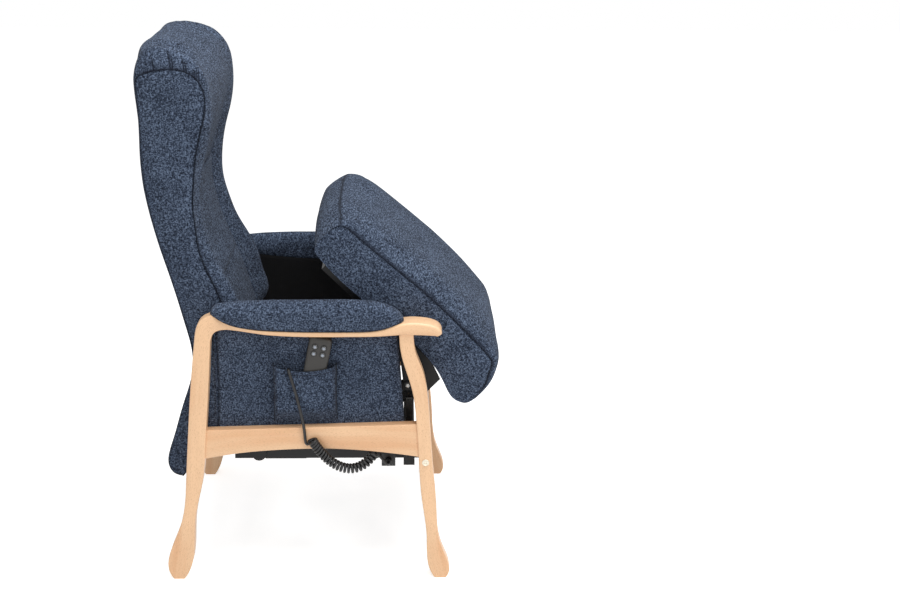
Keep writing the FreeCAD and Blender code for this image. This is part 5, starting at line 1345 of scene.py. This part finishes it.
# Handset
# Upper rear corner from the front foot, lean, distances of face and back from the middle plane, and size
HANDSET_TOP = (-0.251, 0.5495)
HANDSET_LEAN = math.radians(11.4)
HANDSET_FACE = 0.288
HANDSET_BACK = 0.269
HANDSET_HALF = 0.0240
HANDSET_LENGTH = 0.135


def handset_spot(along, down):
    """A place on the handset's face: along its width and down its length."""
    c, s = math.cos(HANDSET_LEAN), math.sin(HANDSET_LEAN)
    return FOOT_X + HANDSET_TOP[0] + along * c - down * s, HANDSET_TOP[1] - along * s - down * c


def rounded_ring(half_x, low, high, radius, count):
    """A rounded rectangle as a ring of points."""
    angles, sign_x, sign_y = corner_turns(count)
    middle, half_y = (low + high) / 2, (high - low) / 2
    x = sign_x * (half_x - radius) + radius * np.cos(angles)
    y = middle + sign_y * (half_y - radius) + radius * np.sin(angles)
    return x, y


def make_handset():
    """Handset shell: rounded rectangles stacked through its thickness, with a softened rim and a raised
    face field."""
    layers = table((
        (21.5, 0.0, 7.7), (23.1, 1.0, 8.3), (24.0, 3.0, 8.7), (24.0, 13.6, 8.7), (23.7, 15.8, 8.6),
        (22.4, 17.9, 7.9), (21.1, 18.6, 7.1), (20.7, 18.65, 6.9), (20.5, 18.4, 6.7), (20.2, 18.4, 6.6),
        (19.9, 18.75, 6.5), (19.3, 19.0, 6.1), (12.5, 19.1, 3.0), (2.0, 19.1, 1.0),
    ))
    rings = []
    for half, depth, radius in layers:
        inset = HANDSET_HALF - half
        along, down = rounded_ring(half, inset, HANDSET_LENGTH - inset, radius, 7)
        x, z = handset_spot(along, down)
        rings.append(np.stack([x, np.full_like(x, -(HANDSET_BACK + depth)), z], -1))
    points = np.stack(rings)
    shape = points.shape[:2]
    piece = build("handset_shell", points, ring_faces(*shape), end_caps(*shape), sharp=50.0)
    dress(piece, "arm_frame", handset_material(), ["handset_body"])
    finish_nodes(cord_material(), "handset_relief")
    for name in ("raise", "lower", "recline", "upright"):
        make_button(name)


def make_button(name):
    """A domed button in a round bezel: turned rings about the button's own middle."""
    low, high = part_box("button_" + name)
    x, z = (low.x + high.x) / 2, (low.z + high.z) / 2
    angle = np.linspace(0, 2 * math.pi, 40, endpoint=False)
    theta = np.linspace(0, math.pi / 2, 10)
    dome = np.stack([5.3 * np.cos(theta), 1.0 + 1.7 * np.sin(theta)], 1)
    profile = np.concatenate([[(0.0, -2.0), (5.3, -2.0)], dome]) * MM
    bezel = table((
        (5.5, -0.6), (5.5, 0.3), (5.7, 0.75), (6.2, 0.95), (6.8, 0.85), (7.2, 0.4), (7.25, 0.0),
        (7.25, -0.6), (5.5, -0.6)
    ))
    for piece_name, rows, body, slot, material in (
        ("dome_" + name, profile, "button_" + name, "button_plastic", button_material()),
        ("bezel_" + name, bezel, "arm_frame", "dark_plastic", housing_material()),
    ):
        radius = rows[:, :1]
        y = -(HANDSET_FACE + rows[:, 1:]) + np.zeros((1, 40))
        points = np.stack([x + radius * np.cos(angle), y, z + radius * np.sin(angle)], -1)
        # On the dome: the share of the button's own dark colour, which leaves the pale painted highlight in
        # the middle.
        rim = smooth_step((radius - 0.0022) / 0.0014) + np.zeros((1, 40))
        piece = build(piece_name, points, ring_faces(len(rows), 40), facts={"fold": rim}, sharp=40.0)
        dress(piece, body, material, ["button_" + name] if piece_name.startswith("dome") else ())


# Cord
def cord_spot(p):
    return np.array([p[0] * MM + FOOT_X, -p[2] * MM, p[1] * MM])


def coil_route(per_turn=16):
    """Helix points: the axis is a cubic Bezier curve stepped by its length, closer at the start, and the
    turns lie in frames carried along it."""
    a, b, c, d = (cord_spot(p) for p in COIL_AXIS)
    count = int(COIL_TURNS * per_turn)
    t = np.linspace(0, 1, 4000)[:, None]
    axis = a * (1 - t) ** 3 + b * 3 * t * (1 - t) ** 2 + c * 3 * t * t * (1 - t) + d * t**3
    run = run_of(axis)
    share = np.linspace(0, 1, count + 1) ** 1.12 * run[-1]
    axis = np.stack([np.interp(share, run, axis[:, i]) for i in range(3)], -1)
    way = np.gradient(axis, axis=0)
    way /= np.linalg.norm(way, axis=1)[:, None]
    normals = np.empty_like(way)
    normal = np.array([0.0, 1.0, 0.0])
    for i in range(len(way)):
        normal = normal - way[i] * (normal @ way[i])
        normal /= np.linalg.norm(normal)
        normals[i] = normal
    side = np.cross(way, normals)
    angle = 2 * math.pi * np.arange(count + 1)[:, None] / per_turn
    radius = (sizes().coil_width - sizes().cord_width) / 2 * 1.02
    return axis + normals * radius * np.cos(angle) + side * radius * np.sin(angle)


def make_cord():
    """One cord: in the pocket, over its lip, down, round the curls and across to the plug, as a single
    NURBS spline."""
    coil = coil_route()
    first_way = (coil[1] - coil[0]) / np.linalg.norm(coil[1] - coil[0])
    last_way = (coil[-1] - coil[-2]) / np.linalg.norm(coil[-1] - coil[-2])
    width = sizes().cord_width
    start = coil[0] - first_way * width
    drop = [cord_spot(p) for p in CORD_WAY_IN + CORD_DROP] + [start - first_way * width * 0.6]
    end = coil[-1] + last_way * width
    plug = cord_spot(CORD_PLUG_END)
    run = sizes().coil_width * 0.55
    tail = [end, end + last_way * run, (end + plug) / 2, plug - np.array([0, run, 0]), plug]
    route = np.concatenate([drop, coil, tail])
    curve = bpy.data.curves.new("handset_cord", "CURVE")
    curve.dimensions = "3D"
    curve.bevel_depth = width / 2
    curve.bevel_resolution = 3
    curve.use_fill_caps = True
    line = curve.splines.new("NURBS")
    line.points.add(len(route) - 1)
    line.points.foreach_set("co", np.c_[route, np.ones(len(route))].ravel())
    line.order_u = 3
    line.use_endpoint_u = True
    line.resolution_u = 3
    cord = add_object("handset_cord", curve)
    dress(cord, "arm_frame", cord_material(), ["cord_drop", "cord_coil", "cord_tail"])
    finish_nodes(cord_material(), "cord_plug")
    finish_nodes(housing_material(), "cord_socket")


# Mechanism
def eased(node, name, width, material, body):
    """A CAD node's copy, welded, with its flat faces joined and its edges softened."""
    mesh = NODES[node].data.copy()
    work = bmesh.new()
    work.from_mesh(mesh)
    bmesh.ops.remove_doubles(work, verts=work.verts, dist=2e-6)
    bmesh.ops.dissolve_limit(work, angle_limit=math.radians(1.0), verts=work.verts, edges=work.edges)
    work.to_mesh(mesh)
    work.free()
    mesh.name = name
    mesh.shade_smooth()
    mesh.set_sharp_from_angle(angle=math.radians(35))
    piece = add_object(name, mesh)
    soften = piece.modifiers.new("soften", "BEVEL")
    soften.width = width
    soften.segments = 2
    soften.limit_method = "ANGLE"
    soften.angle_limit = math.radians(40)
    soften.use_clamp_overlap = True
    return dress(piece, body, material, [node])


def make_mechanism():
    steel = steel_material()
    for node, name, body in (
        ("base_frame", "base_steelwork", "arm_frame"), ("lift_arms", "lift_arm_pair", "lift_arms"),
        ("seat_frame", "seat_steelwork", "seat"), ("back_frame", "back_steelwork", "back"),
        ("right_tilt_link", "right_tilt_bar", "tilt_links"),
        ("left_tilt_link", "left_tilt_bar", "tilt_links"),
        ("right_rest_post", "right_post", "arm_frame"), ("left_rest_post", "left_post", "arm_frame"),
    ):
        eased(node, name, 0.0006, steel, body)
    for node, name, body in (
        ("power_box", "power_housing", "arm_frame"),
        ("lift_actuator_body", "lift_drive", "lift_actuator_body"),
        ("back_actuator_body", "back_drive", "back_actuator_body"),
    ):
        eased(node, name, 0.0010, housing_material(), body)
    finish_nodes(rod_material(), "lift_actuator_rod", "back_actuator_rod")
    finish_nodes(steel, "right_pivot_bolt", "left_pivot_bolt")
    make_pivot_ends()
    finish_nodes(cord_material(), "right_post_cap", "left_post_cap")
    eased("seat_board", "seat_base_board", 0.0008, board_material(), "seat")
    eased("back_trim", "back_tail_trim", 0.0008, lining_material(), "back")


def make_pivot_ends():
    """Bright end of each pivot bolt: a low turned dome on the dark head."""
    angle = np.linspace(0, 2 * math.pi, 32, endpoint=False)
    theta = np.linspace(0, math.pi / 2, 8)
    radius = np.concatenate([[0.0, 4.6], 4.6 * np.cos(theta)])[:, None] * MM
    height = np.concatenate([[-0.6, -0.6], 1.4 * np.sin(theta)])[:, None] * MM
    for name, side in SIDES:
        low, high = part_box(name + "_pivot_bolt")
        x, z = (low.x + high.x) / 2, (low.z + high.z) / 2
        face = high.y if side > 0 else low.y
        points = np.stack(
            [x + side * radius * np.cos(angle), face + side * height + 0 * angle, z - radius * np.sin(angle)],
            -1
        )
        piece = build(name + "_pivot_end", points, ring_faces(len(radius), 32), sharp=40.0)
        dress(piece, "seat", zinc_material())


# Stage
CAMERA_PLACE = (0.1701, -3.3278, 1.5769)
CAMERA_RIGHT = (0.99957, -0.02793, 0.00868)
CAMERA_UP = (0.0, 0.29667, 0.95498)
CAMERA_AHEAD = (0.02925, 0.95457, -0.29655)
CAMERA_SENSOR = 36.0
CAMERA_LENS = 61.52
WORLD_STRENGTH = 0.46
FLOOR_REACH = 9.0
FLOOR_GLOW = 0.62

# Lamps: name, place, aim, width, height, watts
LAMPS = (
    ("overhead_softbox", (0.5, -0.6, 3.2), (0.0, 0.0, 0.5), 2.2, 2.2, 76.0),
    ("front_softbox", (1.9, -2.6, 1.9), (0.0, 0.0, 0.55), 1.3, 1.8, 26.0),
    ("near_softbox", (-1.5, -2.8, 1.7), (0.0, -0.2, 0.5), 1.2, 1.6, 12.0),
)


def make_camera():
    from mathutils import Matrix

    lens = bpy.data.cameras.new("camera")
    lens.sensor_width, lens.lens = CAMERA_SENSOR, CAMERA_LENS
    camera = add_object("camera", lens)
    right, up, ahead, place = CAMERA_RIGHT, CAMERA_UP, CAMERA_AHEAD, CAMERA_PLACE
    rows = [(right[i], up[i], -ahead[i], place[i]) for i in range(3)] + [(0, 0, 0, 1)]
    camera.matrix_world = Matrix(rows)
    bpy.context.scene.camera = camera


def seen_white(tree, lit, white):
    """Mixes to a plain white where the camera, a mirror or glass looks straight at it."""
    nodes, links = tree.nodes, tree.links
    rays = nodes.new("ShaderNodeLightPath")
    both = nodes.new("ShaderNodeMath")
    both.operation = "MAXIMUM"
    all_three = nodes.new("ShaderNodeMath")
    all_three.operation = "MAXIMUM"
    links.new(rays.outputs["Is Camera Ray"], both.inputs[0])
    links.new(rays.outputs["Is Glossy Ray"], both.inputs[1])
    links.new(both.outputs[0], all_three.inputs[0])
    links.new(rays.outputs["Is Transmission Ray"], all_three.inputs[1])
    mix = nodes.new("ShaderNodeMixShader")
    links.new(all_three.outputs[0], mix.inputs[0])
    links.new(lit, mix.inputs[1])
    links.new(white, mix.inputs[2])
    return mix.outputs[0]


def make_world():
    world = bpy.data.worlds.new("studio")
    bpy.context.scene.world = world
    world.use_nodes = True
    tree = world.node_tree
    soft = tree.nodes["Background"]
    soft.inputs["Color"].default_value = (1.0, 1.0, 1.0, 1.0)
    soft.inputs["Strength"].default_value = WORLD_STRENGTH
    white = tree.nodes.new("ShaderNodeBackground")
    white.inputs["Strength"].default_value = 1.0
    white.inputs["Color"].default_value = (1.0, 1.0, 1.0, 1.0)
    out = tree.nodes["World Output"]
    tree.links.new(seen_white(tree, soft.outputs[0], white.outputs[0]), out.inputs["Surface"])


def make_floor():
    mesh = bpy.data.meshes.new("floor")
    reach = FLOOR_REACH
    mesh.from_pydata(
        [(-reach, -reach, 0), (reach, -reach, 0), (reach, reach, 0), (-reach, reach, 0)], [], [(0, 1, 2, 3)]
    )
    floor = add_object("floor", mesh)
    finish = Finish("pale_floor", Roughness=1.0, Specular_IOR_Level=0.0)
    cloud = finish.noise(finish.place(), 3.0, 2.0, 0.5)
    finish.feed(Base_Color=finish.ramp(cloud, [(0.3, (0.86, 0.86, 0.86, 1)), (0.7, (0.9, 0.9, 0.9, 1))]))
    tree = finish.tree
    glow = tree.nodes.new("ShaderNodeEmission")
    glow.inputs["Color"].default_value = (1.0, 1.0, 1.0, 1.0)
    glow.inputs["Strength"].default_value = FLOOR_GLOW
    add = tree.nodes.new("ShaderNodeAddShader")
    tree.links.new(finish.shader.outputs[0], add.inputs[0])
    tree.links.new(glow.outputs[0], add.inputs[1])
    out = tree.nodes["Material Output"]
    tree.links.new(seen_white(tree, finish.shader.outputs[0], add.outputs[0]), out.inputs["Surface"])
    mesh.materials.append(finish.material)


def make_lamp(name, place, aim, wide, tall, watts):
    from mathutils import Vector

    data = bpy.data.lights.new(name, "AREA")
    data.shape = "RECTANGLE"
    data.size, data.size_y, data.energy = wide, tall, watts
    lamp = add_object(name, data)
    lamp.location = place
    lamp.rotation_mode = "QUATERNION"
    lamp.rotation_quaternion = (Vector(aim) - Vector(place)).to_track_quat("-Z", "Y")


def make_lamps():
    for lamp in LAMPS:
        make_lamp(*lamp)


def operator(name, label, words, *steps):
    """An operator class that runs the given functions in order."""
    def execute(self, context):
        for step in steps:
            step()
        return {"FINISHED"}

    return type(
        "CHAIR_OT_" + name,
        (bpy.types.Operator,),
        {
            "bl_idname": "chair." + name,
            "bl_label": label,
            "__doc__": words,
            "bl_options": {"REGISTER"},
            "execute": execute,
        },
    )


def set_view():
    bpy.context.scene.view_settings.view_transform = "Standard"


OPERATORS = (
    operator("camera", "Camera", "Stands the camera where the photograph was taken", make_camera),
    operator("cord", "Cord", "Lays the handset cord with its curls", make_cord),
    operator("bent_legs", "Bent legs", "Bends the two rear legs into the arms", make_bent_legs),
    operator("front_legs", "Front legs", "Makes the two curved front legs", make_front_legs),
    operator("rails", "Rails", "Makes the side and cross rails", make_rails),
    operator("leg_bolts", "Leg bolts", "Turns the bolt heads on the front legs", make_leg_bolts),
    operator("side_panels", "Side panels", "Pads the panels under the arms and lines them", make_side_panels),
    operator("arm_pads", "Arm pads", "Pads the arms", make_arm_pads),
    operator("pocket", "Pocket", "Sews the pocket on the right panel", make_pocket),
    operator("handset", "Handset", "Moulds the handset and its buttons", make_handset),
    operator("seat", "Seat cushion", "Fills and sews the seat cushion", make_seat_cushion),
    operator(
        "back", "Back", "Fills and sews the back and its middle cushion",
        make_back_upholstery, make_centre_pad
    ),
    operator("mechanism", "Mechanism", "Finishes the steelwork, drives and boxes", make_mechanism),
    operator(
        "stage", "Stage", "Sets the floor, the world and the lamps",
        make_world, make_floor, make_lamps, set_view
    ),
)


class CHAIR_PT_panel(bpy.types.Panel):
    """Lists the chair's pieces, sizes and colours"""

    bl_label = "Lift chair"
    bl_idname = "CHAIR_PT_panel"
    bl_space_type = "VIEW_3D"
    bl_region_type = "UI"
    bl_category = "Lift chair"

    def draw(self, context):
        for group in (context.scene.chair_sizes, context.scene.chair_colours):
            column = self.layout.column(align=True)
            for key in group.__annotations__:
                column.prop(group, key)
        column = self.layout.column(align=True)
        for made_operator in OPERATORS:
            column.operator(made_operator.bl_idname)


CLASSES = (ChairSizes, ChairColours) + OPERATORS + (CHAIR_PT_panel,)


def register():
    for kind in CLASSES:
        bpy.utils.register_class(kind)
    bpy.types.Scene.chair_sizes = bpy.props.PointerProperty(type=ChairSizes)
    bpy.types.Scene.chair_colours = bpy.props.PointerProperty(type=ChairColours)


def unregister():
    del bpy.types.Scene.chair_colours
    del bpy.types.Scene.chair_sizes
    for kind in reversed(CLASSES):
        bpy.utils.unregister_class(kind)


def main():
    register()
    for made_operator in OPERATORS:
        getattr(bpy.ops.chair, made_operator.bl_idname.split(".")[1])()


if __name__ == "__main__":
    main()
